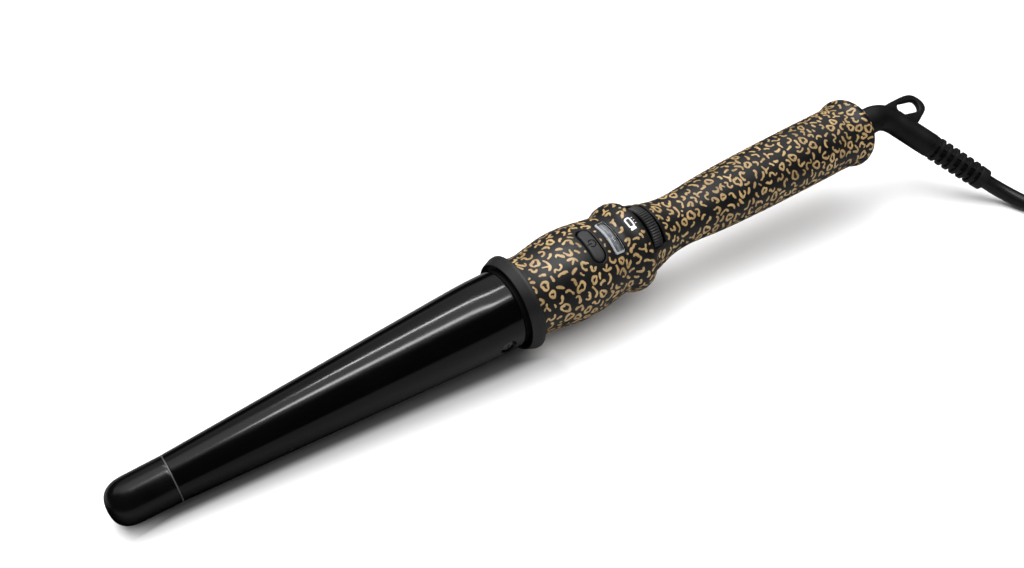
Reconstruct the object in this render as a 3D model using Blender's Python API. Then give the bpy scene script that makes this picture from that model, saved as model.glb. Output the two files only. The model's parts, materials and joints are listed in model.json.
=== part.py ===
"""Conical curling wand with a heated ceramic-coated barrel, a cool tip, a
heat-guard collar, a two-shell handle with an on/off key, a thumbwheel for the
temperature, and a swivelling cord outlet with a hanging loop.

Units are metres in the scene and millimetres in the numbers below.
Station s runs along the barrel's axis: s = 0 is the barrel's base at the
collar, the tip is at negative s and the handle at positive s.
The handle frame has +X along the axis and +Z through the key and the dial.
"""

import math

import bmesh
import bpy
from mathutils import Matrix, Vector

MM = 0.001

# ---------------------------------------------------------------- dimensions
# Resting pose: the wand lies on the collar's front edge and on the cool tip.
TILT_DEG = 4.31          # axis rises from the tip towards the handle
ROLL_DEG = 22.5          # key and dial are rolled this far towards -Y
AXIS_HEIGHT = 19.71      # height of the axis above the surface at s = 0
SHIFT_X, SHIFT_Y = -48.014, 12.363   # moves the whole object so that its box is centred

# Barrel and tip
BARREL_R = 15.85         # base radius of the barrel
BARREL_TIP_R = 8.65      # radius where the cool tip starts
BARREL_S0, BARREL_S1 = -134.3, 5.6
BARREL_STRAIGHT = -12.0  # cylindrical from here to the collar
BARREL_WALL = 1.2
TIP_S0 = -156.3
TIP_R = 8.35
SCREW_S = -8.0           # barrel fixing screws
SCREW_ANGLES = (84.5, -95.5)
SCREW_HEAD_R, SCREW_SHANK_R = 2.7, 1.4

# Collar
COLLAR_R = 20.2
COLLAR_S0, COLLAR_S1 = 1.2, 6.3
COLLAR_RECESS_R = 17.3
COLLAR_RECESS_S = 3.8

# Handle shells: (s, outer radius)
HANDLE = [
    (6.6, 17.2), (10.0, 16.7), (14.0, 16.6), (18.5, 17.3), (24.0, 18.3),
    (30.0, 18.9), (35.5, 18.8), (41.5, 18.2), (47.0, 17.4), (51.0, 16.9),
    (53.2, 17.3), (55.1, 18.4), (58.0, 19.2), (61.0, 19.0), (62.9, 18.0),
    (64.0, 16.7), (67.5, 15.2), (71.4, 14.1), (75.0, 13.1), (80.0, 12.1),
    (87.0, 11.6), (94.0, 11.9), (102.0, 12.6), (112.0, 13.2), (124.0, 13.7),
    (145.0, 14.15), (170.0, 14.4), (184.0, 14.5), (187.5, 14.8),
    (189.6, 15.5), (191.0, 16.0), (192.4, 16.1), (193.8, 15.6),
    (195.0, 14.6), (195.6, 13.4),
]
SHELL_WALL = 1.8
SHELL_ARC = 18           # facets round each half
END_WALL_S = 192.6       # inner face of the wall that the swivel passes
END_BORE_R = 6.9
SPLIT_GAP_DEG = 0.45

# Key, window and dial
KEY_S, KEY_LEN, KEY_WID, KEY_TRAVEL = 38.0, 15.7, 5.7, 0.7
WINDOW_S, WINDOW_LEN, WINDOW_WID = 47.8, 15.6, 4.8
DIAL_S0, DIAL_S1 = 64.5, 70.5
DIAL_R, DIAL_AXIS_Z = 11.4, 4.0
SLOT_S0, SLOT_S1, SLOT_A0, SLOT_A1 = 63.8, 71.2, -40.0, 46.0

# Swivel: elbow, loop and strain relief lie in one plane through the axis
SWIVEL_DEG = 124.3       # that plane, counted from straight up towards -Y
BEND_S = 217.5           # where the axis meets the leg's centre line
BEND_DEG = 59.6
BEND_FILLET = 13.0
NECK_R, LEG_R, ELBOW_BORE_R = 6.4, 5.7, 3.9
LEG_SLEEVE = 28.0        # end of the rigid sleeve, from the bend point
LEG_END = 58.9           # end of the strain relief
LOOP_T = 3.2
HOLE_LONG, HOLE_SHORT, HOLE_TURN = 5.2, 3.6, math.radians(12)
CORD_R = 3.5

# Free cord, in world millimetres before the shift. It leaves the strain
# relief, comes down to the surface and runs into the coil.
COIL_X, COIL_Y = 410.0, -35.35
COIL_R_IN, COIL_R_OUT, COIL_H = 24.7, 53.15, 14.3

# ------------------------------------------------------------------- helpers
for old in list(bpy.data.objects):
    bpy.data.objects.remove(old, do_unlink=True)

SCENE = bpy.context.scene.collection
MATERIALS = {}


def material(name, rgb, rough, metal=0.0, alpha=1.0):
    mat = bpy.data.materials.new(name)
    mat.use_nodes = True
    node = mat.node_tree.nodes["Principled BSDF"]
    node.inputs["Base Color"].default_value = (*rgb, 1.0)
    node.inputs["Roughness"].default_value = rough
    node.inputs["Metallic"].default_value = metal
    node.inputs["Alpha"].default_value = alpha
    mat.diffuse_color = (*rgb, alpha)
    MATERIALS[name] = mat


material("barrel_ceramic", (0.012, 0.012, 0.013), 0.12)
material("tip_plastic", (0.02, 0.02, 0.021), 0.45)
material("collar_plastic", (0.022, 0.022, 0.023), 0.55)
material("shell_print", (0.20, 0.14, 0.07), 0.55)
material("key_plastic", (0.10, 0.10, 0.105), 0.6)
material("window_clear", (0.25, 0.26, 0.27), 0.08, alpha=0.6)
material("dial_plastic", (0.015, 0.015, 0.016), 0.4)
material("swivel_plastic", (0.02, 0.02, 0.021), 0.4)
material("relief_rubber", (0.018, 0.018, 0.018), 0.65)
material("cord_pvc", (0.015, 0.015, 0.015), 0.5)
material("steel", (0.62, 0.62, 0.63), 0.3, 1.0)
material("brass", (0.78, 0.58, 0.28), 0.3, 1.0)
material("aluminium", (0.75, 0.75, 0.77), 0.4, 1.0)
material("phenolic", (0.20, 0.09, 0.04), 0.6)
material("pcb_green", (0.03, 0.20, 0.08), 0.5)
material("component_black", (0.02, 0.02, 0.02), 0.5)
material("heater_ceramic", (0.75, 0.74, 0.70), 0.6)
material("mica", (0.72, 0.66, 0.50), 0.35)
material("lead_insulation", (0.55, 0.05, 0.04), 0.5)
material("display_grey", (0.30, 0.33, 0.34), 0.3)


def empty(name, parent=None, matrix=Matrix()):
    obj = bpy.data.objects.new(name, None)
    obj.empty_display_size = 0.01
    SCENE.objects.link(obj)
    obj.parent = parent
    obj.matrix_local = matrix
    return obj


def put(name, bm, mat, parent, at=(0, 0, 0), hidden=False):
    """Makes an object from a bmesh whose points are in millimetres. 'at' is
    the object's own origin in the parent's frame, so a moving piece can have
    its origin on its joint's axis."""
    off = Vector(at)
    for v in bm.verts:
        v.co = (v.co - off) * MM
    bmesh.ops.recalc_face_normals(bm, faces=bm.faces)
    mesh = bpy.data.meshes.new(name)
    bm.to_mesh(mesh)
    bm.free()
    if mat:
        mesh.materials.append(MATERIALS[mat])
    obj = bpy.data.objects.new(name, mesh)
    SCENE.objects.link(obj)
    obj.parent = parent
    obj.location = off * MM
    if hidden:
        obj.hide_render = True
        obj.display_type = "WIRE"
    return obj


def lathe(profile, seg=32, a0=None, a1=None, phase=0.0, centre=(0.0, 0.0)):
    """Turns (s, r) points about the X axis. Angles are in degrees, counted
    from +Z towards -Y. A profile whose ends are both on the axis makes a
    solid; any other is a closed loop and makes a ring. With a0 and a1 it is a
    sector with flat ends."""
    bm = bmesh.new()
    whole = a0 is None
    steps = seg if whole else seg + 1
    angles = [
        math.radians(phase + 360.0 * i / seg) if whole
        else math.radians(a0 + (a1 - a0) * i / seg)
        for i in range(steps)
    ]
    cy, cz = centre
    poles = whole and profile[0][1] == 0 and profile[-1][1] == 0
    body = profile[1:-1] if poles else profile
    rings = [
        [bm.verts.new((s, cy - r * math.sin(t), cz + r * math.cos(t))) for s, r in body]
        for t in angles
    ]
    n = len(body)
    pairs = [(i, i + 1) for i in range(n - 1)] + ([] if poles else [(n - 1, 0)])
    for k in range(seg):
        one, two = rings[k], rings[(k + 1) % steps if whole else k + 1]
        for i, j in pairs:
            bm.faces.new((one[i], one[j], two[j], two[i]))
    if poles:
        for i, (s, _) in ((0, profile[0]), (n - 1, profile[-1])):
            pole = bm.verts.new((s, cy, cz))
            for k in range(seg):
                bm.faces.new((pole, rings[k][i], rings[(k + 1) % seg][i]))
    if not whole:
        bm.faces.new(rings[0])
        bm.faces.new(rings[-1])
    return bm


def box(x0, x1, y0, y1, z0, z1, bevel=0.0):
    bm = bmesh.new()
    v = [bm.verts.new((x, y, z)) for x in (x0, x1) for y in (y0, y1) for z in (z0, z1)]
    for f in ((0, 1, 3, 2), (4, 6, 7, 5), (0, 4, 5, 1), (2, 3, 7, 6), (0, 2, 6, 4), (1, 5, 7, 3)):
        bm.faces.new([v[i] for i in f])
    if bevel:
        bmesh.ops.bevel(bm, geom=bm.edges[:], offset=bevel, segments=1, affect="EDGES")
    return bm


def prism(outline, low, high, axes="xyz"):
    """Extrudes a closed outline. axes names the coordinates that the
    outline's first and second numbers and the extrusion fill."""
    bm = bmesh.new()

    def at(a, b, c):
        out = dict(zip(axes, (a, b, c)))
        return (out["x"], out["y"], out["z"])

    one = [bm.verts.new(at(a, b, low)) for a, b in outline]
    two = [bm.verts.new(at(a, b, high)) for a, b in outline]
    bm.faces.new(one)
    bm.faces.new(two)
    for i in range(len(one)):
        j = (i + 1) % len(one)
        bm.faces.new((one[i], one[j], two[j], two[i]))
    return bm


def obround(cx, cy, half_x, half_y, radius, steps=5):
    """A rounded rectangle; with radius = the smaller half it is an obround."""
    points = []
    for sx, sy, start in ((1, 1, 0), (-1, 1, 90), (-1, -1, 180), (1, -1, 270)):
        for i in range(steps + 1):
            t = math.radians(start + 90.0 * i / steps)
            points.append((cx + sx * (half_x - radius) + radius * math.cos(t),
                           cy + sy * (half_y - radius) + radius * math.sin(t)))
    out = []
    for p in points:
        if not out or math.dist(p, out[-1]) > 1e-6:
            out.append(p)
    if math.dist(out[0], out[-1]) < 1e-6:
        out.pop()
    return out


def sweep(points, radii, seg=12, up=Vector((0, 1, 0))):
    """A solid tube through points in the XZ plane."""
    bm = bmesh.new()
    rings = []
    for i, p in enumerate(points):
        a, b = points[max(i - 1, 0)], points[min(i + 1, len(points) - 1)]
        run = (Vector(b) - Vector(a)).normalized()
        side = run.cross(up).normalized()
        rings.append([
            bm.verts.new(Vector(p) + radii[i] * (math.cos(2 * math.pi * k / seg) * side
                                                 + math.sin(2 * math.pi * k / seg) * up))
            for k in range(seg)
        ])
    for one, two in zip(rings, rings[1:]):
        for k in range(seg):
            j = (k + 1) % seg
            bm.faces.new((one[k], one[j], two[j], two[k]))
    bm.faces.new(rings[0])
    bm.faces.new(rings[-1])
    return bm


def rod(p, q, radius, seg=16):
    """A straight round rod from p to q."""
    bm = bmesh.new()
    p, q = Vector(p), Vector(q)
    run = (q - p).normalized()
    side = run.orthogonal().normalized()
    up = run.cross(side)
    ends = []
    for c in (p, q):
        ends.append([bm.verts.new(c + radius * (math.cos(2 * math.pi * k / seg) * side
                                                + math.sin(2 * math.pi * k / seg) * up))
                     for k in range(seg)])
    bm.faces.new(ends[0])
    bm.faces.new(ends[1])
    for k in range(seg):
        j = (k + 1) % seg
        bm.faces.new((ends[0][k], ends[0][j], ends[1][j], ends[1][k]))
    return bm


CUTTERS = [0]


def boolean(obj, operation, bm, parent):
    CUTTERS[0] += 1
    other = put(f"helper_{CUTTERS[0]:02d}", bm, None, parent, hidden=True)
    mod = obj.modifiers.new(f"{operation.lower()}_{CUTTERS[0]:02d}", "BOOLEAN")
    mod.operation = operation
    mod.solver = "EXACT"
    mod.object = other
    return obj


def cut(obj, bm, parent):
    return boolean(obj, "DIFFERENCE", bm, parent)


def join(obj, bm, parent):
    return boolean(obj, "UNION", bm, parent)


def catmull(points, step):
    """A smooth curve through the points, resampled about every 'step'."""
    pts = [Vector(p) for p in points]
    pts = [2 * pts[0] - pts[1]] + pts + [2 * pts[-1] - pts[-2]]
    fine = []
    for i in range(1, len(pts) - 2):
        p0, p1, p2, p3 = pts[i - 1:i + 3]
        for k in range(24):
            t = k / 24.0
            fine.append(0.5 * ((2 * p1) + (-p0 + p2) * t + (2 * p0 - 5 * p1 + 4 * p2 - p3) * t * t
                               + (-p0 + 3 * p1 - 3 * p2 + p3) * t ** 3))
    fine.append(pts[-2])
    out, run = [fine[0]], 0.0
    for a, b in zip(fine, fine[1:]):
        run += (b - a).length
        if run >= step:
            out.append(b)
            run = 0.0
    if (out[-1] - fine[-1]).length < 0.45 * step:
        out.pop()
    out.append(fine[-1])
    return out


def tube(name, points, radius, mat, parent, resolution=2):
    curve = bpy.data.curves.new(name, "CURVE")
    curve.dimensions = "3D"
    curve.bevel_depth = radius * MM
    curve.bevel_resolution = resolution
    curve.use_fill_caps = True
    spline = curve.splines.new("POLY")
    spline.points.add(len(points) - 1)
    for p, q in zip(spline.points, points):
        p.co = (q[0] * MM, q[1] * MM, q[2] * MM, 1.0)
    curve.materials.append(MATERIALS[mat])
    obj = bpy.data.objects.new(name, curve)
    SCENE.objects.link(obj)
    obj.parent = parent
    return obj


# -------------------------------------------------------------------- frames
world = empty("placement", None, Matrix.Translation((SHIFT_X * MM, SHIFT_Y * MM, 0)))
axis = empty("axis_frame", world,
             Matrix.Translation((0, 0, AXIS_HEIGHT * MM)) @ Matrix.Rotation(math.radians(-TILT_DEG), 4, "Y"))
grip = empty("handle_frame", axis, Matrix.Rotation(math.radians(ROLL_DEG), 4, "X"))
swivel = empty("swivel_frame", axis, Matrix.Rotation(math.radians(SWIVEL_DEG), 4, "X"))

# ------------------------------------------------------------ barrel and tip
# Turned about the unrolled axis, with a facet facing the surface below.
r_out = lambda s: BARREL_TIP_R + (BARREL_R - BARREL_TIP_R) * min(1.0, (s - BARREL_S0) / (BARREL_STRAIGHT - BARREL_S0))
barrel = put("barrel", lathe([
    (BARREL_S0, r_out(BARREL_S0)), (-105.0, r_out(-105.0)), (-60.0, r_out(-60.0)),
    (BARREL_STRAIGHT, BARREL_R), (BARREL_S1, BARREL_R),
    (BARREL_S1, BARREL_R - BARREL_WALL), (BARREL_STRAIGHT, BARREL_R - BARREL_WALL),
    (-60.0, r_out(-60.0) - BARREL_WALL), (BARREL_S0, r_out(BARREL_S0) - BARREL_WALL),
], seg=36, phase=5.0), "barrel_ceramic", axis)

put("cool_tip", lathe([
    (TIP_S0, 0), (TIP_S0, 5.9), (TIP_S0 + 0.5, 6.9), (TIP_S0 + 1.4, 7.8),
    (TIP_S0 + 2.6, 8.25), (TIP_S0 + 4.0, TIP_R), (BARREL_S0 - 0.9, BARREL_TIP_R - 0.05),
    (BARREL_S0 - 0.4, BARREL_TIP_R - 0.35), (BARREL_S0 - 0.4, 7.05), (-126.5, 7.05), (-125.9, 6.4), (-125.9, 0),
], seg=24, phase=7.5), "tip_plastic", axis)

put("tip_fixing_rivet", lathe([
    (-125.5, 0), (-125.5, 3.4), (-124.3, 3.4), (-124.3, 1.3), (-112.0, 1.3), (-112.0, 0),
], seg=12), "steel", axis)

# Bush that carries the barrel in the handle. It is phenolic, which stands the
# heat, and its flange sits in a groove of the shells.
bush = put("barrel_mount_bush", lathe([
    (-14.0, 7.2), (-14.0, 14.3), (6.0, 14.3), (6.9, 14.9), (9.6, 14.9), (9.6, 10.6), (1.0, 9.2),
], seg=28), "phenolic", grip)

for i, angle in enumerate(SCREW_ANGLES):
    t = math.radians(angle)
    ray = Vector((0, -math.sin(t), math.cos(t)))
    foot = Vector((SCREW_S, 0, 0))
    cut(barrel, rod(foot + ray * 12.0, foot + ray * 19.0, SCREW_HEAD_R + 0.35), grip)
    cut(bush, rod(foot + ray * 5.0, foot + ray * 17.0, SCREW_SHANK_R + 0.3, 12), grip)
    head = rod(foot + ray * 14.62, foot + ray * 15.75, SCREW_HEAD_R)
    screw = put(f"barrel_screw_{'ab'[i]}", head, "steel", grip)
    join(screw, rod(foot + ray * 9.6, foot + ray * 15.0, SCREW_SHANK_R, 12), grip)
    # Slot across the head, for the driver.
    slot = box(-2.0 + SCREW_S, 2.0 + SCREW_S, -0.35, 0.35, 15.25, 17.0)
    bmesh.ops.rotate(slot, cent=(0, 0, 0), matrix=Matrix.Rotation(t, 3, "X"), verts=slot.verts)
    cut(screw, slot, grip)

# ------------------------------------------------------------------- heater
# Two half-round aluminium jaws press on a flat ceramic heater, and a bowed
# leaf keeps them against the barrel's wall.
HEAT_S0, HEAT_S1 = -104.0, -24.0
jaw_r0, jaw_r1 = r_out(HEAT_S0) - BARREL_WALL - 0.55, r_out(HEAT_S1) - BARREL_WALL - 0.55


def jaw(sign):
    bm = bmesh.new()
    ends = []
    for s, r in ((HEAT_S0, jaw_r0), (HEAT_S1, jaw_r1)):
        flat = 2.6
        a = math.degrees(math.acos(flat / r))
        ring = []
        for k in range(13):
            t = math.radians(-a + 2 * a * k / 12.0)
            ring.append(bm.verts.new((s, -r * math.sin(t), sign * r * math.cos(t))))
        ends.append(ring)
    bm.faces.new(ends[0])
    bm.faces.new(ends[1])
    for k in range(13):
        j = (k + 1) % 13
        bm.faces.new((ends[0][k], ends[0][j], ends[1][j], ends[1][k]))
    return bm


put("heater_jaw_upper", jaw(1), "aluminium", grip)
put("heater_jaw_lower", jaw(-1), "aluminium", grip)
put("ptc_heater", box(-98, -30, -5.2, 5.2, -1.2, 1.2, 0.3), "heater_ceramic", grip)
put("mica_sheet_upper", box(-101, -27, -6.0, 6.0, 1.55, 2.2), "mica", grip)
put("mica_sheet_lower", box(-101, -27, -6.0, 6.0, -2.2, -1.55), "mica", grip)
put("thermistor", rod((-20.5, 0, 3.0), (-14.6, 0, 3.0), 1.3, 12), "component_black", grip)
put("thermal_fuse", rod((-20.0, 0, -3.2), (-3.0, 0, -3.2), 1.9, 12), "steel", grip)

# ------------------------------------------------------------------- collar
put("heat_guard_collar", lathe([
    (COLLAR_S0, COLLAR_RECESS_R), (COLLAR_S0, COLLAR_RECESS_R + 0.5), (COLLAR_S0 + 0.6, 18.4),
    (4.7, COLLAR_R - 0.2), (5.2, COLLAR_R), (5.8, COLLAR_R - 0.1), (COLLAR_S1, COLLAR_R - 0.6),
    (COLLAR_S1, BARREL_R + 0.3), (COLLAR_RECESS_S, BARREL_R + 0.3), (COLLAR_RECESS_S, COLLAR_RECESS_R),
], seg=48, phase=3.75), "collar_plastic", axis)

# ------------------------------------------------------------ handle shells
# Outer skin, end wall with the swivel's bore, then the inner skin back to the
# front, where a groove takes the bush's flange.
inner = [(s, r - SHELL_WALL) for s, r in HANDLE if 12.0 < s < 186.0]
loop = list(HANDLE) + [(195.6, END_BORE_R), (END_WALL_S, END_BORE_R), (END_WALL_S, 12.9), (187.0, 12.8)]
loop += list(reversed(inner)) + [(10.6, 12.6), (9.9, 12.6), (9.9, 15.3), (6.6, 15.3)]

a = SPLIT_GAP_DEG
upper = put("handle_shell_upper", lathe(loop, SHELL_ARC, -90 + a, 90 - a), "shell_print", grip)
lower = put("handle_shell_lower", lathe(loop, SHELL_ARC, 90 + a, 270 - a), "shell_print", grip)

cut(upper, prism(obround(KEY_S, 0, KEY_WID / 2 + 0.3, KEY_LEN / 2 + 0.3, KEY_WID / 2), 10, 24), grip)
cut(upper, prism(obround(WINDOW_S, 0, WINDOW_WID / 2 + 0.3, WINDOW_LEN / 2 + 0.3, 1.6), 10, 24), grip)
cut(upper, lathe([(SLOT_S0, 8.0), (SLOT_S0, 24.0), (SLOT_S1, 24.0), (SLOT_S1, 8.0)], 16,
                 SLOT_A0, SLOT_A1), grip)
for shell in (upper, lower):
    cut(shell, lathe([(SLOT_S0 + 0.3, 0), (SLOT_S0 + 0.3, DIAL_R + 0.4), (SLOT_S1 - 0.3, DIAL_R + 0.4), (SLOT_S1 - 0.3, 0)],
                     40, centre=(0.0, DIAL_AXIS_Z)), grip)

# Two screws hold the lower shell to pillars of the upper one.
for i, s in enumerate((104.0, 160.0)):
    r_here = 12.7 if i == 0 else 14.4
    join(upper, rod((s, 0, 1.0), (s, 0, r_here - 1.0), 2.6, 12), grip)
    cut(lower, rod((s, 0, -9.0), (s, 0, -18.0), 2.3, 12), grip)
    screw = put(f"handle_screw_{'ab'[i]}", rod((s, 0, -r_here + 0.9), (s, 0, -r_here + 2.9), 1.95, 12), "steel", grip)
    join(screw, rod((s, 0, -r_here + 2.0), (s, 0, 0.6), 1.1, 10), grip)

# --------------------------------------------------- key, window, dial, board
key = put("power_key", prism(obround(KEY_S, 0, KEY_WID / 2, KEY_LEN / 2, KEY_WID / 2 - 0.35), 12, 22), "key_plastic", grip,
          at=(KEY_S, 0, 0))
boolean(key, "INTERSECT", lathe([(KEY_S - 5, 15.3), (KEY_S - 5, 19.3), (KEY_S + 5, 18.8), (KEY_S + 5, 15.3)],
                                24, -60, 60), grip)
put("key_plunger", rod((KEY_S, 0, 12.0), (KEY_S, 0, 15.0), 1.6, 12), "component_black", grip, at=(KEY_S, 0, 0))
switch = put("tact_switch", box(KEY_S - 3, KEY_S + 3, -3, 3, 9.3, 12.8), "component_black", grip)
cut(switch, rod((KEY_S, 0, 11.1), (KEY_S, 0, 14.0), 1.95, 16), grip)

window = put("display_window", prism(obround(WINDOW_S, 0, WINDOW_WID / 2, WINDOW_LEN / 2, 1.3), 11, 22), "window_clear", grip)
boolean(window, "INTERSECT", lathe([(WINDOW_S - 5, 15.4), (WINDOW_S - 5, 18.3), (WINDOW_S + 5, 17.3), (WINDOW_S + 5, 14.6)],
                                   24, -60, 60), grip)
put("display_module", box(WINDOW_S - 2.6, WINDOW_S + 2.6, -7.0, 7.0, 9.3, 12.4, 0.2), "display_grey", grip)

put("circuit_board", box(14.5, 52.5, -10.4, 10.4, 7.3, 8.9), "pcb_green", grip)
put("triac", box(18, 27.5, -5.2, 5.2, 2.4, 7.0, 0.2), "component_black", grip)
put("suppression_capacitor", box(30.0, 42.5, -6.5, 0.8, -2.4, 7.0, 0.3), "component_black", grip)
put("controller_chip", box(31.0, 40.0, 2.6, 9.0, 5.2, 7.0), "component_black", grip)

# The thumbwheel turns on a potentiometer shaft that is offset towards the
# slot, so its rim stands proud only there and stays inside the handle below.
teeth = 40
rim = []
for k in range(teeth * 2):
    t = 2 * math.pi * (k + 0.5) / (teeth * 2)
    r = DIAL_R if k % 2 == 0 else DIAL_R - 0.45
    rim.append((r * math.cos(t), DIAL_AXIS_Z + r * math.sin(t)))
dial = put("temperature_dial", prism(rim, DIAL_S0, DIAL_S1, "yzx"), "dial_plastic", grip, at=(0, 0, DIAL_AXIS_Z))
cut(dial, rod((DIAL_S0 - 2, 0, DIAL_AXIS_Z), (DIAL_S1 + 2, 0, DIAL_AXIS_Z), 3.25, 20), grip)
pot = put("potentiometer", box(53.2, 62.4, -6.0, 6.0, -2.0, 10.0, 0.3), "component_black", grip)
cut(pot, rod((56.6, 0, DIAL_AXIS_Z), (65.0, 0, DIAL_AXIS_Z), 3.3, 20), grip)
put("potentiometer_shaft", rod((57.6, 0, DIAL_AXIS_Z), (DIAL_S1 + 0.2, 0, DIAL_AXIS_Z), 2.95, 20), "steel", grip,
    at=(0, 0, DIAL_AXIS_Z))

# ------------------------------------------------------------ contacts, leads
put("brush_live", box(171.4, 175.6, -2.6, 0.4, -12.0, -8.55), "brass", grip)
put("brush_neutral", box(178.4, 182.6, 0.6, 3.6, -12.0, -8.55), "brass", grip)


def lead(name, points, radius=0.7):
    tube(name, catmull(points, 4.0), radius, "lead_insulation", grip, 1)


lead("lead_live", [(50.0, -8.8, 6.0), (51.6, -9.4, 1.5), (55.6, -8.6, -4.5), (61.6, -4.2, -8.6), (68.0, -1.7, -8.9),
                   (86.0, -1.5, -8.7), (96.0, -3.4, -8.2), (104.0, -4.6, -8.0), (112.0, -4.0, -8.6), (140.0, -2.2, -9.8),
                   (152.0, -3.4, -10.0), (160.0, -4.0, -9.9), (166.0, -1.8, -10.2), (171.0, -1.1, -10.3)])
lead("lead_neutral", [(50.0, 8.8, 6.0), (51.6, 9.4, 1.5), (55.6, 8.6, -4.5), (61.6, 4.2, -8.6), (68.0, 1.7, -8.9),
                      (86.0, 1.5, -8.7), (96.0, 3.4, -8.2), (104.0, 4.6, -8.0), (112.0, 4.0, -8.6), (140.0, 2.2, -9.8),
                      (152.0, 3.4, -10.0), (160.0, 4.0, -9.9), (168.0, 2.6, -10.2), (178.0, 2.1, -10.3)])
lead("heater_lead_a", [(-29.6, -2.6, 0.0), (-24.0, -2.8, 0.0), (-12.0, -4.4, 0.6), (0.0, -4.6, 1.4), (10.0, -4.6, 3.6), (17.4, -3.6, 4.4)])
lead("heater_lead_b", [(-29.6, 2.6, 0.0), (-24.0, 2.8, 0.0), (-12.0, 4.4, 0.6), (0.0, 4.6, 1.4), (10.0, 4.6, 3.6), (17.4, 3.6, 4.4)])

# -------------------------------------------------------------------- swivel
# Everything here turns with the cord outlet. The frame's +Z lies in the
# plane of the bend, on the side that the leg leans to.
put("swivel_spindle", lathe([
    (167.5, 3.9), (167.5, 6.2), (190.2, 6.2), (190.2, 5.7), (192.1, 5.7), (192.1, 6.3), (195.9, 6.3), (195.9, 3.9),
], seg=24), "swivel_plastic", swivel)
for name, s in (("slip_ring_live", 171.6), ("slip_ring_neutral", 178.6)):
    put(name, lathe([(s, 6.45), (s, 8.2), (s + 3.8, 8.2), (s + 3.8, 6.45)], seg=24), "brass", swivel)
put("retaining_clip", lathe([(190.5, 5.95), (190.5, 9.4), (191.8, 9.4), (191.8, 5.95)], 20, -150, 150), "steel", swivel)

bend = math.radians(BEND_DEG)
half = BEND_FILLET * math.tan(bend / 2)
path, radii = [(196.2, 0, 0), (203.0, 0, 0)], [NECK_R, NECK_R]
first = BEND_S - half
for k in range(9):
    t = bend * k / 8.0
    path.append((first + BEND_FILLET * math.sin(t), 0, BEND_FILLET * (1 - math.cos(t))))
    radii.append(NECK_R + (LEG_R - NECK_R) * k / 8.0)
leg = Vector((math.cos(bend), 0, math.sin(bend)))
out = Vector((math.sin(bend), 0, -math.cos(bend)))   # outer side of the bend
bend_at = Vector((BEND_S, 0, 0))
path.append(tuple(bend_at + leg * LEG_SLEEVE))
radii.append(LEG_R)
elbow = put("elbow_housing", sweep(path, radii, 20), "swivel_plastic", swivel)
join(elbow, lathe([(196.2, 0), (196.2, 8.6), (197.8, 8.6), (199.0, 7.4), (199.6, 6.0), (199.6, 0)], 24), swivel)
# Hanging loop: a flat ear on the outer side, in the bend's plane.
ear = [(0.0, -2.6), (5.4, -3.2), (12.0, -3.3), (18.4, -2.9), (21.6, -1.6), (24.0, 1.4), (24.9, 4.8), (23.7, 7.5),
       (19.4, 9.9), (14.4, 12.0), (9.0, 14.0), (4.0, 7.0), (-4.0, 0.0)]
join(elbow, prism([(BEND_S + p, q) for p, q in ear], -LOOP_T / 2, LOOP_T / 2, "xzy"), swivel)
HOLE = (16.2, 3.6)
# Its rims are chamfered, which lets a hook in at a slant.
hole_bm = bmesh.new()
rings = []
for depth, grow in ((-6.0, 1.1), (-LOOP_T / 2 - 0.2, 1.1), (-0.7, 0.0), (0.7, 0.0), (LOOP_T / 2 + 0.2, 1.1), (6.0, 1.1)):
    rings.append([
        hole_bm.verts.new((BEND_S + HOLE[0] + u * math.cos(HOLE_TURN) - v * math.sin(HOLE_TURN), depth,
                           HOLE[1] + u * math.sin(HOLE_TURN) + v * math.cos(HOLE_TURN)))
        for u, v in obround(0, 0, HOLE_LONG + grow, HOLE_SHORT + grow, HOLE_SHORT - 0.05 + grow, 4)])
for one, two in zip(rings, rings[1:]):
    for k in range(len(one)):
        j = (k + 1) % len(one)
        hole_bm.faces.new((one[k], one[j], two[j], two[k]))
hole_bm.faces.new(rings[0])
hole_bm.faces.new(rings[-1])
cut(elbow, hole_bm, swivel)
bore = [(190.0, 0, 0), (203.0, 0, 0)] + path[2:-1] + [tuple(bend_at + leg * (LEG_SLEEVE + 4))]
cut(elbow, sweep(bore, [ELBOW_BORE_R] * len(bore), 16), swivel)

# Strain relief: a slim core with six ribs and an end collar, moulded round
# the cord, with a plug end that sits in the sleeve.
relief = []
core, rib = 3.9, 5.5
t0 = LEG_SLEEVE + 0.3
relief += [(t0, 0), (t0, rib), (t0 + 1.4, rib), (t0 + 1.4, core)]
for k in range(6):
    c = 31.6 + 4.0 * k
    if k:
        relief += [(c - 0.95, core), (c - 0.75, rib - 0.05 * k)]
    else:
        relief += [(c - 0.95, core), (c - 0.75, rib)]
    relief += [(c + 0.75, rib - 0.05 * k), (c + 0.95, core)]
relief += [(54.4, core), (54.6, 5.0), (57.9, 4.9), (LEG_END, 4.2), (LEG_END, 0)]
bm = lathe(relief, 16)
turn = Matrix.Translation(bend_at) @ Matrix.Rotation(-bend, 4, "Y")
bmesh.ops.transform(bm, matrix=turn, verts=bm.verts)
put("strain_relief", bm, "relief_rubber", swivel)

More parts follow.
